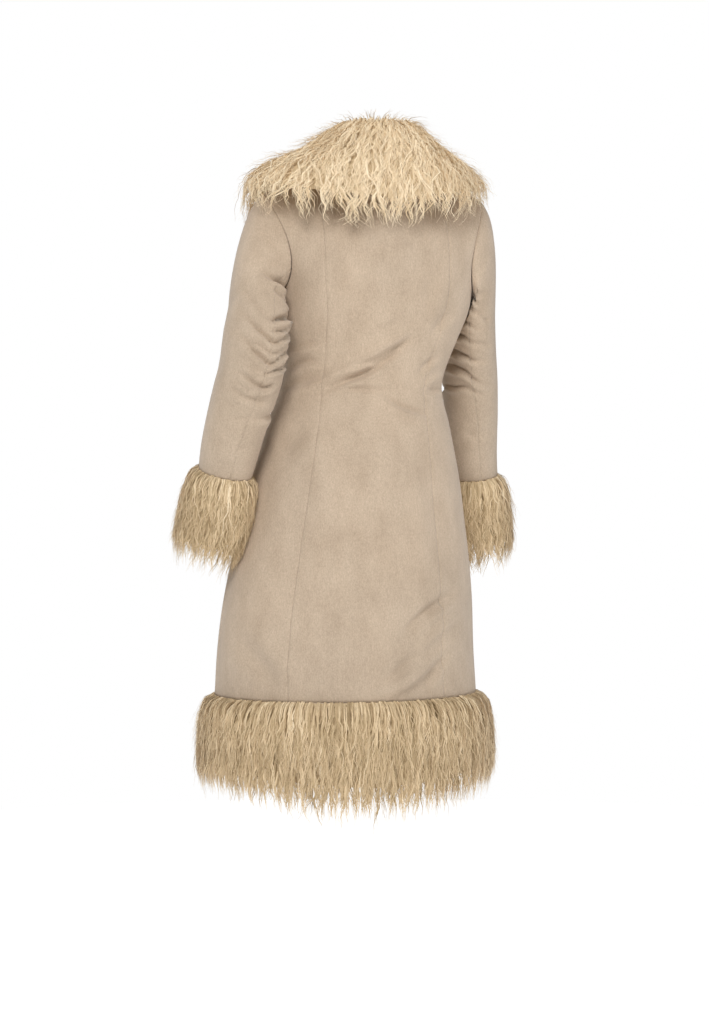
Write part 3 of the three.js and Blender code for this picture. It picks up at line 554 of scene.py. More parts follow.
def sleeve_grid(side, first, last, count):
    """Points of a sleeve between two of its seams, from the armhole to the cuff."""
    column = mix(first, last, across(count))[None, :]
    cap = np.linspace(0, 1, SLEEVE_HEAD_ROWS)[:-1]
    arm = np.linspace(0, 1, ARM_ROWS)
    share = np.concatenate([np.zeros(len(cap)), arm])[:, None]
    drift = mix(HEAD_SEAM_DRIFT, CUFF_SEAM_DRIFT, smooth(share)) / 360 * SLEEVE_COLUMNS
    is_top = last == BACK_SEAM_COLUMN
    t = (column - first) / (last - first)
    moved = mix(first, last + drift, t) if is_top else mix(first + drift, last, t)
    angle = moved * 2 * math.pi / SLEEVE_COLUMNS
    middle, down, out, back, half_width, half_depth = arm_frame(side, share)

    def section(rows):
        return (
            middle[rows]
            + out[rows] * (half_width[rows] * np.cos(angle[rows]))[..., None]
            + back[rows] * (half_depth[rows] * np.sin(angle[rows]))[..., None]
        )

    end = section(slice(0, 1))
    turn = np.mod(column, SLEEVE_COLUMNS)
    start = np.where(
        (turn <= YOKE_ROWS)[..., None],
        armhole_point(1, side, np.clip(YOKE_ROWS - turn, 0, YOKE_ROWS)),
        armhole_point(-1, side, np.clip(turn - YOKE_ROWS, 0, YOKE_ROWS)),
    )
    reach = np.linalg.norm(end - start, axis=-1, keepdims=True)
    inward = (1 - np.cos(angle[:1])) / 2
    leave = {key: mix(LEAVE_TIP[key], LEAVE_FOOT[key], inward) for key in LEAVE_TIP}
    keep = leave["keep"][..., None] * reach
    leave = unit(points_of(side * leave["out"], 0, -leave["down"])) * keep
    arrive = end - down[:1] * CAP_ARRIVE * reach
    k = cap[:, None, None]
    head = (
        (1 - k) ** 3 * start + 3 * (1 - k) ** 2 * k * (start + leave)
        + 3 * (1 - k) * k**2 * arrive + k**3 * end
    )
    points = np.concatenate([head, section(slice(len(cap), None))])
    direction = out * np.cos(angle)[..., None] + back * np.sin(angle)[..., None]
    row = np.arange(len(points))[:, None]
    fade = smooth((len(points) - 1 - row) / CUFF_FADE_ROWS) * smooth(row / HEAD_FADE_ROWS)
    points = points + direction * (sleeve_crease(side, angle, points[..., 2]) * fade)[..., None]
    points[1:] = push_off_body(points[1:], SLEEVE_CLEARANCE)
    return points


def grid_normals(points, core):
    """Outward directions over a grid; core is a point inside."""
    normals = unit(np.cross(np.gradient(points, axis=0), np.gradient(points, axis=1)))
    away = np.sum(normals * (points - core), axis=-1).sum()
    return normals * np.sign(away)


def run_lengths(points, axis):
    """Distance of every point from both ends of its row or column."""
    steps = np.linalg.norm(np.diff(points, axis=axis), axis=-1)
    pad = [(0, 0), (0, 0)]
    pad[axis] = (1, 0)
    run = np.pad(np.cumsum(steps, axis=axis), pad)
    total = np.take(run, [-1], axis=axis)
    return run, total - run


def quads_between(rows, columns, start=0, wrap=False):
    """Faces of a grid of points numbered row by row."""
    last = columns if wrap else columns - 1
    r, c = np.meshgrid(np.arange(rows - 1), np.arange(last), indexing="ij")
    nxt = (c + 1) % columns
    a, b = r * columns + c, r * columns + nxt
    return np.stack([a, b, b + columns, a + columns], axis=-1).reshape(-1, 4) + start


def make_mesh(name, points, faces, tone=None, normals=None):
    """A smooth-shaded object of these points (mm) and four-sided faces, riding on the coat."""
    mesh = bpy.data.meshes.new(name)
    mesh.vertices.add(len(points))
    mesh.vertices.foreach_set("co", (points * MM).astype(np.float32).ravel())
    mesh.loops.add(faces.size)
    mesh.loops.foreach_set("vertex_index", faces.astype(np.int32).ravel())
    mesh.polygons.add(len(faces))
    mesh.polygons.foreach_set("loop_start", np.arange(0, faces.size, 4, dtype=np.int32))
    mesh.polygons.foreach_set("use_smooth", np.ones(len(faces), dtype=bool))
    if tone is not None:
        attribute = mesh.attributes.new("tone", "FLOAT", "POINT")
        attribute.data.foreach_set("value", tone.astype(np.float32).ravel())
    mesh.update(calc_edges=True)
    mesh.validate()
    if normals is not None:
        mesh.normals_split_custom_set_from_vertices(normals.astype(np.float32))
    piece = bpy.data.objects.new(name, mesh)
    bpy.context.scene.collection.objects.link(piece)
    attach(piece, "root")
    return piece


def shell(name, outer, inner, wrap=False):
    """A thin closed sheet between two grids; wrap joins the last column to the first."""
    rows, columns = outer.shape[:2]
    points = np.concatenate([outer.reshape(-1, 3), inner.reshape(-1, 3)])
    count = rows * columns
    faces = [quads_between(rows, columns, wrap=wrap)]
    faces.append(quads_between(rows, columns, count, wrap)[:, ::-1])
    ids = np.arange(count).reshape(rows, columns)
    borders = [(ids[0], True), (ids[-1], False)]
    if not wrap:
        borders += [(ids[:, 0], False), (ids[:, -1], True)]
    for line, flip in borders:
        if wrap:
            line = np.append(line, line[0])
        rim = np.stack([line[:-1], line[1:], line[1:] + count, line[:-1] + count], axis=-1)
        faces.append(rim[:, ::-1] if flip else rim)
    faces = np.concatenate(faces)
    a, b, c, d = (points[faces[:, k]] for k in range(4))
    volume = np.sum(a * np.cross(b, c)) + np.sum(a * np.cross(c, d))
    return make_mesh(name, points, faces if volume > 0 else faces[:, ::-1])


def area_of(grid):
    """Area of the surface through a grid of points."""
    diagonals = np.cross(grid[1:, 1:] - grid[:-1, :-1], grid[1:, :-1] - grid[:-1, 1:])
    return np.linalg.norm(diagonals, axis=-1).sum() / 2


flat_sizes = {}
cloth_pieces = []


def state_sheet(piece, flat, area):
    """Keeps the cut of a piece, given in mm, for the list at the end."""
    flat = (flat[0] * MM, flat[1] * MM)
    area = area * MM**2
    flat_sizes[piece.name] = (*flat, area)


def cloth_panel(name, node, grid, core, seams, roll=SEAM_ROLL):
    """A panel in place of a solid; seams names its borders that are sewn to a neighbour.

    roll is the dip into the seams at its sides.
    """
    normals = grid_normals(grid, core)
    down, up = run_lengths(grid, 0)
    left, right = run_lengths(grid, 1)
    borders = {
        "left": (left, down, roll), "right": (right, down, roll),
        "low": (down, left, SEAM_ROLL), "high": (up, left, SEAM_ROLL),
    }
    lift = np.zeros(grid.shape[:2])
    for seam in seams:
        distance, run, dip = borders[seam]
        wave = np.sin(run * 2 * math.pi / PUCKER["length"] + 2 * np.sin(run / PUCKER["drift"]))
        lift += PUCKER["height"] * wave * bump(distance - PUCKER["from_seam"], PUCKER["width"])
        lift -= dip * bump(distance, SEAM_ROLL_WIDTH)
    outer = grid + normals * lift[..., None]
    inner = grid - normals * WALL
    for surface in (outer, inner):
        for axis in (0, 1):
            step = unit(np.gradient(surface, axis=axis)) * SEAM_GAP / 2
            first, last = [slice(None)] * 2, [slice(None)] * 2
            first[axis], last[axis] = 0, -1
            surface[tuple(first)] += step[tuple(first)]
            surface[tuple(last)] -= step[tuple(last)]
    piece = shell(name, outer, inner)
    state_sheet(piece, (left.max(), down.max()), area_of(grid))
    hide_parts(node)
    cloth_pieces.append(piece)


# ---- Cloth panels ----
BODY_CORE = np.array([10.0, 0.0, -500.0])
ROUND = ("left", "right", "low")
seam = seam_share()[:, None]
edge_heights = np.concatenate([body_rows, np.full(len(yoke_rows), UNDERARM_HEIGHT)])
edge = front_edge_share(edge_heights)[:, None]

spread = (2 * across(48) - 1)[None, :] * seam
grid = body_grid(1, np.where(spread < 0, -1, 1), np.abs(spread))
cloth_panel("centre_back", "back_centre", grid, BODY_CORE, ROUND)
for side, hand in HANDS:
    grid = body_grid(1, side, mix(seam, 1, across(24)[None, :]))
    cloth_panel(f"side_back_{hand}", f"back_side_{hand}", grid, BODY_CORE, ROUND)
    grid = body_grid(-1, side, mix(edge, 1, across(50)[None, :]))
    cloth_panel(f"front_panel_{hand}", f"front_{hand}", grid, BODY_CORE, ("right", "low"))
    arm_core = np.array([side * 235.0, 20 + side * 30, -330.0])
    for part, first, last, columns in (
        ("top", FRONT_SEAM_COLUMN - SLEEVE_COLUMNS, BACK_SEAM_COLUMN, 44),
        ("under", BACK_SEAM_COLUMN, FRONT_SEAM_COLUMN, 20),
    ):
        grid = sleeve_grid(side, first, last, columns)
        cloth_panel(
            f"{part}_sleeve_{hand}", f"sleeve_{part}_{hand}", grid, arm_core, (*ROUND, "high"),
            ARM_SEAM_ROLL)

# ---- Pile ----
# The outside of the hem's and the cuffs' pile: down by share of the drop, and out from the cloth.
HEM_PILE = Table("down out", [
    (-0.06, 7), (0, 15), (0.1, 24), (0.34, 29), (0.6, 29), (0.83, 27), (1, 21), (1.2, 14),
])
CUFF_PILE = Table("down out", [
    (-0.07, 4), (0, 9), (0.12, 17), (0.4, 22), (0.66, 23), (0.85, 21), (1, 15), (1.2, 9),
])
HEM_BAND_DROP = 196.0
HEM_SIDE_DROP = 0.79  # the pile is shorter at the sides by this factor
HEM_HALF_GIRTH = {1: 372.0, -1: 362.0}
HEM_SINK = 20.0  # strands sink below the pile's outside by this much at most
CUFF_DROP = 158.0
CUFF_SINK = 14.0
LEAST_OUT = 0.5  # strands stay this far above the cloth
PILE_CLEARANCE = 4.0  # of the cuffs from the body
# The collar by degrees from the centre back, as distances from the neck's middle and heights:
# base on the neckline, inside, roll at the top, crown, rim, skirt and tip down the outside.
COLLAR_ANGLES = [0, 45, 90, 135, 176]
COLLAR_SECTIONS = {
    "base": [(60, 8), (68, 8), (74, 8), (86, -22), (88, -70)],
    "inside": [(55, 60), (65, 60), (73, 50), (87, 14), (91, -40)],
    "roll": [(63, 86), (74, 84), (82, 70), (96, 30), (100, -28)],
    "crown": [(106, 62), (123, 48), (131, 35), (144, 16), (130, -38)],
    "rim": [(140, -6), (174, 0), (186, 8), (188, -24), (152, -84)],
    "skirt": [(146, -66), (190, -52), (219, -18), (208, -76), (156, -132)],
    "tip": [(136, -112), (186, -98), (230, -66), (204, -126), (146, -166)],
}
COLLAR_SHIFT = {"by": 13.0, "from": 80.0, "over": 120.0}  # towards the wearer's left, at its rim
COLLAR_DEPTH = 17.0  # from the outside of the pile to its backing
COLLAR_THIN = {"start": 0.35, "over": 40.0}  # the pile is thinner inside the neck
COLLAR_SINK_LEAST = 26.0  # strands rise over the pile's outside by this much at most
COLLAR_ROWS = 64
COLLAR_STEP = 3  # degrees between two sections of its grid
COLLAR_REACH = 300.0  # the sections are all stretched to this length
COLLAR_PAST_TIP = 3.2  # mm for each row that strands reach past the last one
COLLAR_ARC = 2.2  # mm across for each degree
UNDERCOAT = 0.35  # the ground stands out by this share of the pile, as its short undercoat does
UNDERCOAT_START = 24.0  # it grows to that over this distance from the seam

# Pile grows in locks, each with a root, length, layer, sway and wave. The strands of a lock follow
# it from root (0) to tip (1), each with its own place in it and its own length.
EVEN_STEPS = (0.7548776662, 0.5698402910)  # fill a square evenly, as golden angles do a disc
STRANDS_IN_LOCK = 5
SEAM_LOCKS = 16.0  # locks rooted this close to a seam bulge out over it
LOCK_ENDS = (-1, 0.8)  # range of a lock's end about the pile's edge, by the style's jag
LONG_LOCKS = {"share": 0.07, "by": 0.18}  # a few locks hang lower by this share of the reach
SHORTEST = 0.55  # locks near the edge keep this share of the style's least length
LAYER_POWER = 0.7  # more locks lie near the outside than deep in the pile
LEAST_WAVE = 0.4
STRAND_LENGTH = (0.72, 1.06)
STRAND_TWIST = 2.2  # radians about the lock's middle from root to tip
GATHER = {"root": 1.5, "middle": 0.75, "by": 0.35, "tip": 0.35, "from": 0.55}
SWAY_POWER = 1.6
WAVE_START = 0.5  # waves have their full height from here on
WAVE_DEPTH = 0.6  # height of the waves out from the coat, by their height across
RISE = {"free": 0.3, "at_seam": 0.14}  # a strand has risen to its layer this far along
STAND = {"at": 0.1, "width": 0.12}
STRAY = {"across": 7.0, "out": 4.0}
FLY = {"shorter": 0.2, "power": 1.2, "least": 0.4}
TILT = 0.3  # radians that the strands' flat sides turn about
STRAND_TAPER = {"from": 0.35, "tip": 0.16, "uneven": (0.7, 1.3)}
SOFT_SHADING = 0.5  # share by which strands are shaded as the pile's whole surface
# Tone of the strands: layer darkens the deeper locks, root the roots and under the side of each
# lock that faces the coat, all painted shade within the pile.
TONE = {
    "middle": 0.5, "strand": 0.09, "layer": 0.3, "full_layer": 0.75, "root": -0.3,
    "root_width": 0.2, "tip": 0.16, "tip_from": 0.6, "at_seam": 0.1, "under": -0.16,
}

# A style's tone lifts or darkens all of its pile: the collar's higher tone is painted light, as it
# is lit more from above, and the hem's and cuffs' lower tone is painted shade.
HEM_STYLE = {
    "roots": (0.0, 0.72), "crowd": 1.55, "at_seam": 1.0, "length": (76, 122), "jag": 0.14,
    "layer": 0.55, "sway": 0.09, "wave": 2.8, "wave_length": (32, 50), "lock_width": 4.6,
    "strays": 0.26, "flyaways": 0.06, "fly_out": 13, "stand": 0.03, "strand_width": 1.4,
    "patchy": 0.1, "tone": -0.17, "tuft": {"at": 0, "width": 1, "longer": 0}, "points": 10,
}
FRONT_HEM_STYLE = {**HEM_STYLE, "points": 8}
CUFF_STYLE = {
    **HEM_STYLE, "length": (60, 110), "jag": 0.18, "sway": 0.1, "flyaways": 0.07, "tone": -0.18,
    "points": 9,
}
COLLAR_STYLE = {
    **HEM_STYLE, "roots": (0.0, 0.8), "crowd": 1.0, "at_seam": 0.0, "length": (62, 112),
    "jag": 0.06, "strand_width": 1.5, "sway": 0.22, "wave": 3.3, "wave_length": (24, 44),
    "lock_width": 4.8, "stand": 0.02, "strays": 0.2, "flyaways": 0.1, "fly_out": 23, "tone": 0.2,
    "tuft": {"at": 0.76, "width": 0.085, "longer": 0.17}, "points": 12,
}
pile_pieces = []
ground_pieces = []


def even_pairs(count, rng):
    """Pairs of numbers between 0 and 1 that fill a square evenly, a little shaken."""
    pairs = np.mod(0.5 + np.outer(EVEN_STEPS, np.arange(count)), 1)
    return np.mod(pairs + rng.normal(0, 0.35 / math.sqrt(count), pairs.shape), 1)


def grow(name, node, place, width, reach, locks, rng, style):
    """Grows pile in locks. place turns positions across, down and out (mm) into points.

    width and reach are the extents of the backing, across and down to the tips.
    """
    u0, v0 = even_pairs(locks, rng)
    first, last = style["roots"]
    root = mix(first, last, v0 ** style["crowd"]) * reach
    near_seam = smooth(1 - root / SEAM_LOCKS) * style["at_seam"]
    length = rng.uniform(*style["length"], locks)
    ends = 1 + style["jag"] * rng.uniform(*LOCK_ENDS, locks)
    ends = ends + LONG_LOCKS["by"] * (rng.uniform(0, 1, locks) < LONG_LOCKS["share"])
    tuft = style["tuft"]
    ends = reach * (ends + tuft["longer"] * bump(u0 - tuft["at"], tuft["width"]))
    length = np.minimum(length, np.maximum(ends - root, style["length"][0] * SHORTEST))
    layer = mix(style["layer"], 1, rng.uniform(0, 1, locks) ** LAYER_POWER)
    sway = rng.normal(0, style["sway"], locks)
    wave = rng.uniform(LEAST_WAVE, 1, locks) * style["wave"]
    turns = length / rng.uniform(*style["wave_length"], locks)
    phase = rng.uniform(0, 2 * math.pi, locks)
    tone = rng.normal(0, style["patchy"], locks)

    # Columns of values, one for each strand, and t along them.
    strands = locks * STRANDS_IN_LOCK
    lock = np.repeat(np.arange(locks), STRANDS_IN_LOCK)[:, None]
    spin = rng.uniform(0, 2 * math.pi, strands)[:, None]
    spread = np.sqrt(rng.uniform(0, 1, strands))[:, None] * style["lock_width"] / 2
    own_length = length[lock] * rng.uniform(*STRAND_LENGTH, strands)[:, None]
    stray = (rng.uniform(0, 1, strands) < style["strays"]) * rng.normal(0, 1, strands)
    fly = (rng.uniform(0, 1, strands) < style["flyaways"]) * rng.uniform(FLY["least"], 1, strands)
    stray, fly = stray[:, None], fly[:, None]
    count = style["points"]
    t = np.linspace(0, 1, count)[None, :]

    gather = mix(GATHER["root"], GATHER["middle"], smooth(t / GATHER["by"]))
    gather = gather * mix(1, GATHER["tip"], late(t, GATHER["from"]))
    twist = spin + STRAND_TWIST * t * np.sign(phase[lock] - math.pi)
    waving = turns[lock] * 2 * math.pi * t + phase[lock]
    waves = wave[lock] * smooth(t / WAVE_START)
    u = (
        u0[lock] * width
        + np.sin(waving) * waves
        + sway[lock] * own_length * t**SWAY_POWER
        + spread * np.cos(twist) * gather
        + stray * STRAY["across"] * t**2
    )
    stand = style["stand"] * (1 + near_seam[lock]) * bump(t - STAND["at"], STAND["width"])
    v = root[lock] + own_length * (t * (1 - FLY["shorter"] * fly) - stand)
    height = layer[lock] * smooth(t / mix(RISE["free"], RISE["at_seam"], near_seam[lock]))
    o = (
        np.cos(waving) * waves * WAVE_DEPTH
        + spread * np.sin(twist) * gather
        + np.abs(stray) * STRAY["out"] * t**2
        + fly * style["fly_out"] * t**FLY["power"]
    )

    # Ribbons along the strands, nearly flat on the coat.
    centre = place(u, v, height, o)
    tangent = unit(np.gradient(centre, axis=1))
    side_way = square_to(place(u + 1, v, height, o) - centre, tangent)
    outward = np.cross(side_way, tangent)
    away = unit(place(u, v, height, o + 1) - place(u, v, height, o - 1))
    is_flipped = np.sum(outward * away) < 0
    outward = -outward if is_flipped else outward
    tilt = rng.normal(0, TILT, strands)[:, None, None]
    ribbon = side_way * np.cos(tilt) + outward * np.sin(tilt)
    half = style["strand_width"] / 2 * rng.uniform(*STRAND_TAPER["uneven"], strands)[:, None]
    step = ribbon * (half * mix(1, STRAND_TAPER["tip"], late(t, STRAND_TAPER["from"])))[..., None]
    edges = np.stack([centre - step, centre + step], axis=2)
    ids = np.arange(strands * count * 2).reshape(strands, count, 2)
    corners = [ids[:, :-1, 0], ids[:, :-1, 1], ids[:, 1:, 1], ids[:, 1:, 0]]
    faces = np.stack(corners[::-1] if is_flipped else corners, axis=-1).reshape(-1, 4)
    own_normal = outward * np.cos(tilt) - side_way * np.sin(tilt)
    normals = np.repeat(unit(mix(own_normal, away, SOFT_SHADING))[:, :, None], 2, axis=2)

    at_seam = near_seam[lock]
    # Each point's tone: the pile's own colour and its random patches, with painted shade in the
    # deeper locks, at the roots and on a lock's side towards the coat, and the style's painted
    # light or shade for the whole piece.
    shade = (
        TONE["middle"] + style["tone"] + tone[lock]
        + rng.normal(0, TONE["strand"], strands)[:, None]
        + TONE["layer"] * (layer[lock] - TONE["full_layer"])
        + TONE["root"] * bump(t, TONE["root_width"]) * (1 - at_seam)
        + TONE["tip"] * late(t, TONE["tip_from"])
        + TONE["at_seam"] * at_seam
        + TONE["under"] * (1 - np.sin(twist)) / 2
    )
    shade = np.repeat(shade[..., None], 2, axis=-1)
    piece = make_mesh(name, edges.reshape(-1, 3), faces, shade, normals.reshape(-1, 3))
    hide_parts(node)
    pile_pieces.append(piece)


def backing(name, place, columns, rows, core, girth=None):
    """The knitted ground that the pile stands on, as thick as its short undercoat.

    girth is the length all round, where the ground closes to a ring.
    """
    columns, rows = np.broadcast_arrays(columns[None, :], rows[:, None])
    level = np.zeros_like(rows)
    base = place(columns, rows, level, level)
    outer = place(columns, rows, UNDERCOAT * smooth(rows / UNDERCOAT_START), level)
    inner = base - grid_normals(base, core) * WALL
    piece = shell(name, outer, inner, wrap=girth is not None)
    flat = (girth or run_lengths(base, 1)[0].max(), run_lengths(base, 0)[0].max())
    area = area_of(np.concatenate([base, base[:, :1]], axis=1) if girth else base)
    state_sheet(piece, flat, min(area, flat[0] * flat[1]))
    ground_pieces.append(piece)


def pile_out(profile, down, height, extra, sink):
    """How far pile stands out from the cloth, between its foot (height 0) and its outside (1)."""
    out = mix(1, profile.read("down", down)["out"], height)
    return np.maximum(out + np.maximum(extra, -height * sink), LEAST_OUT)


def hem_place(face):
    """Positions over the hem band: across is signed mm from the centre, to the wearer's left."""
    def place(u, v, height, extra):
        share = np.abs(u) / HEM_HALF_GIRTH[face]
        side = np.where(u < 0, -1, 1)
        drop = HEM_BAND_DROP * mix(1, HEM_SIDE_DROP, smooth(share))
        down = v / HEM_BAND_DROP
        out = pile_out(HEM_PILE, down, height, extra, HEM_SINK)
        return body_point(face, side, HEM_HEIGHT - down * drop, share, out, False)

    return place


for part, face, low, high, locks, seed, style, columns in (
    ("back", 1, -1.0, 1.0, 2080, 2171, HEM_STYLE, 90),
    ("front_left", -1, 0.06, 1.0, 1000, 1133, FRONT_HEM_STYLE, 45),
    ("front_right", -1, -1.0, -0.06, 1000, 1140, FRONT_HEM_STYLE, 45),
):
    place = hem_place(face)
    start, end = low * HEM_HALF_GIRTH[face], high * HEM_HALF_GIRTH[face]
    grow(
        f"hem_pile_{part}", f"fur_hem_{part}", lambda u, v, h, o: place(u + start, v, h, o),
        end - start, HEM_BAND_DROP, locks, np.random.default_rng(seed), style)
    rows = 0.74 * HEM_BAND_DROP * np.linspace(0, 1, 18) ** 1.5
    columns = np.linspace(start, end, columns)
    backing(f"hem_ground_{part}", place, columns, rows, BODY_CORE - [0, 0, 500])


def cuff_place(side):
    """Positions over a cuff: across is mm round the arm from its outer side."""
    middle, down_way, out_way, back_way, half_width, half_depth = arm_frame(side, 1.0)
    girth = math.pi * (half_width + half_depth)

    def place(u, v, height, extra):
        angle = u / girth * 2 * math.pi
        out = pile_out(CUFF_PILE, v / CUFF_DROP, height, extra, CUFF_SINK)
        point = (
            middle + down_way * v[..., None]
            + out_way * ((half_width + out) * np.cos(angle))[..., None]
            + back_way * ((half_depth + out) * np.sin(angle))[..., None]
        )
        return push_off_body(point, PILE_CLEARANCE)

    return place, girth, middle + down_way * CUFF_DROP / 2


for side, hand in HANDS:
    place, girth, core = cuff_place(side)
    grow(
        f"cuff_pile_{hand}", f"fur_cuff_{hand}", place, girth, CUFF_DROP, 1120,
        np.random.default_rng(40 + side), CUFF_STYLE)
    rows = 0.1 + 0.72 * CUFF_DROP * np.linspace(0, 1, 14) ** 1.5
    columns = np.linspace(0, girth, 49)[:-1]
    backing(f"cuff_ground_{hand}", place, columns, rows, core, girth)

# The collar's surface as a grid of distances and heights, even along every section.
collar_angles = np.linspace(0, 180, 180 // COLLAR_STEP + 1)
collar_grid = np.zeros((len(collar_angles), COLLAR_ROWS, 2))
for part in (0, 1):
    rows = [
        [angle, *(section[i][part] for section in COLLAR_SECTIONS.values())]
        for i, angle in enumerate(COLLAR_ANGLES)
    ]
    reading = Table("angle " + " ".join(COLLAR_SECTIONS), rows).read("angle", collar_angles)
    for i, line in enumerate(np.stack([reading[name] for name in COLLAR_SECTIONS], axis=-1)):
        fine = Table("at value", list(enumerate(line)))
        places = np.linspace(0, len(line) - 1, COLLAR_ROWS)
        collar_grid[i, :, part] = fine.read("at", places)["value"]
for i, line in enumerate(collar_grid):
    run = np.concatenate([[0], np.cumsum(np.linalg.norm(np.diff(line, axis=0), axis=1))])
    even = np.linspace(0, run[-1], COLLAR_ROWS)
    collar_grid[i] = np.stack([np.interp(even, run, line[:, part]) for part in (0, 1)], axis=-1)
slope = unit(np.gradient(collar_grid, axis=1))
collar_out = np.stack([-slope[..., 1], slope[..., 0]], axis=-1)


def between(table, i, j):
    """Values of a grid between its points."""
    i = np.clip(i, 0, table.shape[0] - 1.001)
    j = np.clip(j, 0, table.shape[1] - 1.001)
    a, b = i.astype(int), j.astype(int)
    s, t = (i - a)[..., None], (j - b)[..., None]
    low = mix(table[a, b], table[a, b + 1], t)
    high = mix(table[a + 1, b], table[a + 1, b + 1], t)
    return mix(low, high, s)


def collar_place(u, v, height, extra):
    """Positions over the collar: across from the centre back, down along its section."""
    angle = u / COLLAR_ARC
    i = np.abs(angle) / COLLAR_STEP
    j = v / COLLAR_REACH * (COLLAR_ROWS - 1)
    past = np.maximum(j - (COLLAR_ROWS - 1), 0)[..., None] * COLLAR_PAST_TIP
    rise = COLLAR_DEPTH * smooth(v / COLLAR_THIN["over"] + COLLAR_THIN["start"])
    depth = -rise * (1 - height) + np.clip(extra, -rise * height, COLLAR_SINK_LEAST)
    point = between(collar_grid, i, j) + between(slope, i, j) * past
    point = point + between(collar_out, i, j) * depth[..., None]
    out, up = point[..., 0], point[..., 1]
    shift = COLLAR_SHIFT["by"] * smooth((out - COLLAR_SHIFT["from"]) / COLLAR_SHIFT["over"])
    turn = np.radians(angle)
    return np.stack([shift + np.sin(turn) * out, np.cos(turn) * out, up], axis=-1)


half_collar = COLLAR_ANGLES[-1] * COLLAR_ARC
grow(
    "collar_pile", "fur_collar", lambda u, v, h, o: collar_place(u - half_collar, v, h, o),
    2 * half_collar, COLLAR_REACH, 1760, np.random.default_rng(11), COLLAR_STYLE)
rows = np.linspace(2, 0.84 * COLLAR_REACH, 34)
columns = np.linspace(-half_collar, half_collar, 100)
backing("collar_ground", collar_place, columns, rows, np.array([0.0, 0.0, -60.0]))

# ---- Materials ----
# Painted light: the pile glows by this much in its own colour, standing in for light that comes
# through the fine fibres and lifting the shade between the strands.
PILE_PAINTED_GLOW = 0.15  # light that comes through the fine fibres from all round
# Painted light: the pile's ground glows by this much, which lightens the shade in the gaps between
# the locks.
GROUND_PAINTED_GLOW = 0.22


def material(name, **settings):
    """A new material's node tree and its shader, which gets these settings."""
    made = bpy.data.materials.new(name)
    made.use_nodes = True
    shader = made.node_tree.nodes["Principled BSDF"]
    for setting, value in settings.items():
        shader.inputs[setting.replace("_", " ")].default_value = value
    return made, made.node_tree, shader


def node(tree, kind, inputs, **settings):
    """A new node; each of its inputs is a value or another node's output."""
    made = tree.nodes.new("ShaderNode" + kind)
    for name, value in settings.items():
        setattr(made, name, value)
    for name, value in inputs.items():
        if isinstance(value, bpy.types.NodeSocket):
            tree.links.new(value, made.inputs[name])
        else:
            made.inputs[name].default_value = value
    return made


def noise(tree, scale, stretch, detail=2.0):
    """Noise over the object's own coordinates; stretch makes it longer where it is small."""
    where = node(tree, "TexCoord", {}).outputs["Object"]
    moved = node(tree, "Mapping", {"Vector": where, "Scale": stretch}).outputs["Vector"]
    inputs = {"Vector": moved, "Scale": scale, "Detail": detail}
    return node(tree, "TexNoise", inputs).outputs["Fac"]


def ramp(tree, source, stops):
    """Colours for the values of source, between these stops."""
    made = node(tree, "ValToRGB", {"Fac": source})
    elements = made.color_ramp.elements
    while len(elements) < len(stops):
        elements.new(0.5)
    for element, (position, colour) in zip(elements, stops):
        element.position = position
        element.color = (*colour, 1)
    return made.outputs["Color"]


def tint(tree, source, low, high):
    """Colours for noise, which seldom leaves the values between these two."""
    return ramp(tree, source, [(0.3, low), (0.7, high)])


def multiply(tree, first, second):
    """The product of two colours."""
    inputs = {"Factor": 1, "A": first, "B": second}
    return node(tree, "Mix", inputs, data_type="RGBA", blend_type="MULTIPLY").outputs["Result"]


def relief(tree, source, strength, distance, **under):
    """Bumps after source, on top of another relief that is given as its Normal."""
    inputs = {"Height": source, "Strength": strength, "Distance": distance, **under}
    return node(tree, "Bump", inputs).outputs["Normal"]


def suede():
    made, tree, shader = material(
        "suede_cloth", Roughness=0.92, Sheen_Weight=0.22, Sheen_Roughness=0.55,
        Specular_IOR_Level=0.15)
    wale = noise(tree, 620, (1, 1, 0.12))
    colour = tint(
        tree, noise(tree, 26, (1, 1, 0.55), 3), (0.455, 0.355, 0.262), (0.525, 0.418, 0.315))
    for source, low, high in (
        (noise(tree, 5, (1, 1, 0.7)), (0.93, 0.93, 0.93), (1.05, 1.04, 1.03)),
        (wale, (0.93, 0.925, 0.92), (1.05, 1.05, 1.05)),
        (noise(tree, 560, (1, 1, 0.6), 3), (0.87, 0.87, 0.86), (1.1, 1.1, 1.1)),
    ):
        colour = multiply(tree, colour, tint(tree, source, low, high))
    tree.links.new(colour, shader.inputs["Base Color"])
    rumple = relief(tree, noise(tree, 34, (1, 1, 0.8), 4), 0.3, 0.007)
    rib = relief(tree, wale, 0.35, 0.0006, Normal=rumple)
    tree.links.new(rib, shader.inputs["Normal"])
    return made


def pile():
    made, tree, shader = material(
        "shaggy_pile", Roughness=0.62, Sheen_Weight=0.15, Specular_IOR_Level=0.25,
        Emission_Strength=PILE_PAINTED_GLOW)
    tone = node(tree, "Attribute", {}, attribute_name="tone").outputs["Fac"]
    colour = ramp(tree, tone, [
        (0.0, (0.26, 0.18, 0.09)), (0.25, (0.48, 0.36, 0.212)),
        (0.55, (0.68, 0.54, 0.352)), (0.85, (0.83, 0.71, 0.52))])
    fleck = tint(tree, noise(tree, 240, (1, 1, 0.3)), (0.88, 0.86, 0.82), (1.06, 1.05, 1.04))
    fibre = multiply(tree, colour, fleck)
    tree.links.new(fibre, shader.inputs["Base Color"])
    # The pile's colour also feeds its glow, which is painted light that lifts the shade between the
    # strands.
    tree.links.new(fibre, shader.inputs["Emission Color"])
    return made


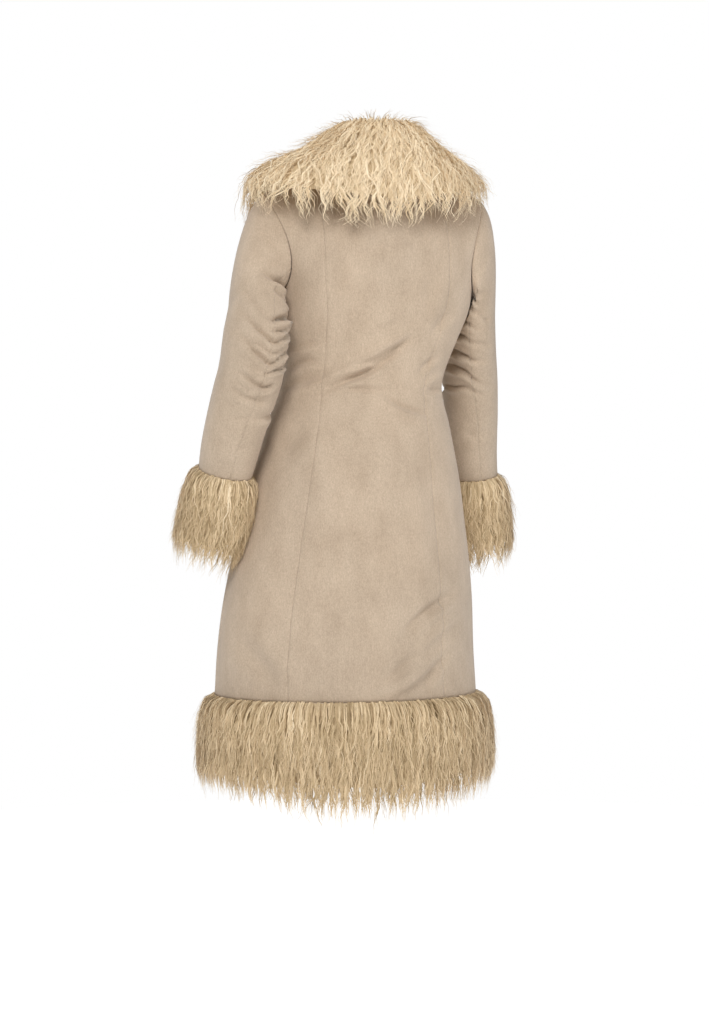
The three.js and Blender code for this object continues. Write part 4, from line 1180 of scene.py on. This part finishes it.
def ground():
    made, tree, shader = material("pile_ground", Roughness=0.95, Emission_Strength=GROUND_PAINTED_GLOW)
    # The ground is darker than the pile, partly as its undercoat's own colour and partly as painted
    # shade in the gaps between the locks; its glow is painted light.
    knit = tint(tree, noise(tree, 400, (1, 1, 0.12)), (0.45, 0.34, 0.2), (0.56, 0.435, 0.275))
    tree.links.new(knit, shader.inputs["Base Color"])
    tree.links.new(knit, shader.inputs["Emission Color"])
    return made


for pieces, look in (
    (cloth_pieces, suede()), (pile_pieces, pile()), (ground_pieces, ground()),
):
    for piece in pieces:
        piece.data.materials.append(look)

# ---- Stage, lights and camera ----
FLOOR = {"height": -1510.0, "radius": 2600.0, "points": 96}  # level of the wearer's soles
FLOOR_GREY = 0.86
FLOOR_GLOW = 0.72  # the floor is lit from below too, as a photographer's white sweep
WHITE = (1, 1, 1, 1)
bpy.ops.mesh.primitive_circle_add(
    vertices=FLOOR["points"], radius=FLOOR["radius"] * MM, fill_type="NGON",
    location=(0, 0, FLOOR["height"] * MM))
floor = bpy.context.object
floor.name = "floor"
paper, _, _ = material(
    "pale_floor", Base_Color=(FLOOR_GREY, FLOOR_GREY, FLOOR_GREY, 1), Roughness=0.9,
    Emission_Color=WHITE, Emission_Strength=FLOOR_GLOW)
floor.data.materials.append(paper)

STUDIO_LEVEL = 0.27  # light from all round
BACKGROUND_LEVEL = 1.0  # brightness of the plain background itself
scene = bpy.context.scene
scene.view_settings.view_transform = "Standard"
world = bpy.data.worlds.new("studio")
world.use_nodes = True
sky = world.node_tree.nodes["Background"]
sky.inputs["Color"].default_value = WHITE
is_seen = node(world.node_tree, "LightPath", {}).outputs["Is Camera Ray"]
levels = {"Value": is_seen, "To Min": STUDIO_LEVEL, "To Max": BACKGROUND_LEVEL}
level = node(world.node_tree, "MapRange", levels).outputs["Result"]
world.node_tree.links.new(level, sky.inputs["Strength"])
scene.world = world

AZIMUTH = math.radians(165)  # the camera looks from behind, a little from the wearer's left
CAMERA_DISTANCE = 4600.0
CAMERA_HEIGHT = -500.0
LENS = {"lens": 88.93, "shift_x": -0.0186, "shift_y": -0.0653}  # frames the coat as the picture
LIGHTS_AIM = mathutils.Vector((0, 0, -150.0)) * MM


def put(name, data, angle, distance, height):
    """A new lamp or camera on a circle round the coat."""
    made = bpy.data.objects.new(name, data)
    x, y = math.sin(angle) * distance, -math.cos(angle) * distance
    made.location = mathutils.Vector((x, y, height)) * MM
    scene.collection.objects.link(made)
    return made


for name, turn, height, distance, size, power in (  # turn is in degrees from the camera
    ("key", -8, 1500, 2800, 1300, 73),
    ("fill", 66, 900, 3200, 2000, 38),
    ("side", -80, 1600, 2800, 1600, 24),
):
    lamp = bpy.data.lights.new(name, "AREA")
    lamp.size = size * MM
    lamp.energy = power
    lamp = put(name, lamp, AZIMUTH + math.radians(turn), distance, height)
    lamp.rotation_euler = (LIGHTS_AIM - lamp.location).to_track_quat("-Z", "Y").to_euler()

camera = bpy.data.cameras.new("camera")
for setting, value in LENS.items():
    setattr(camera, setting, value)
scene.camera = put("camera", camera, AZIMUTH, CAMERA_DISTANCE, CAMERA_HEIGHT)
scene.camera.rotation_euler = (math.radians(90), 0, AZIMUTH)

for name, (width, length, area) in flat_sizes.items():
    print(f"flat {name}: {width:.3f} x {length:.3f} m, {area:.4f} m2")
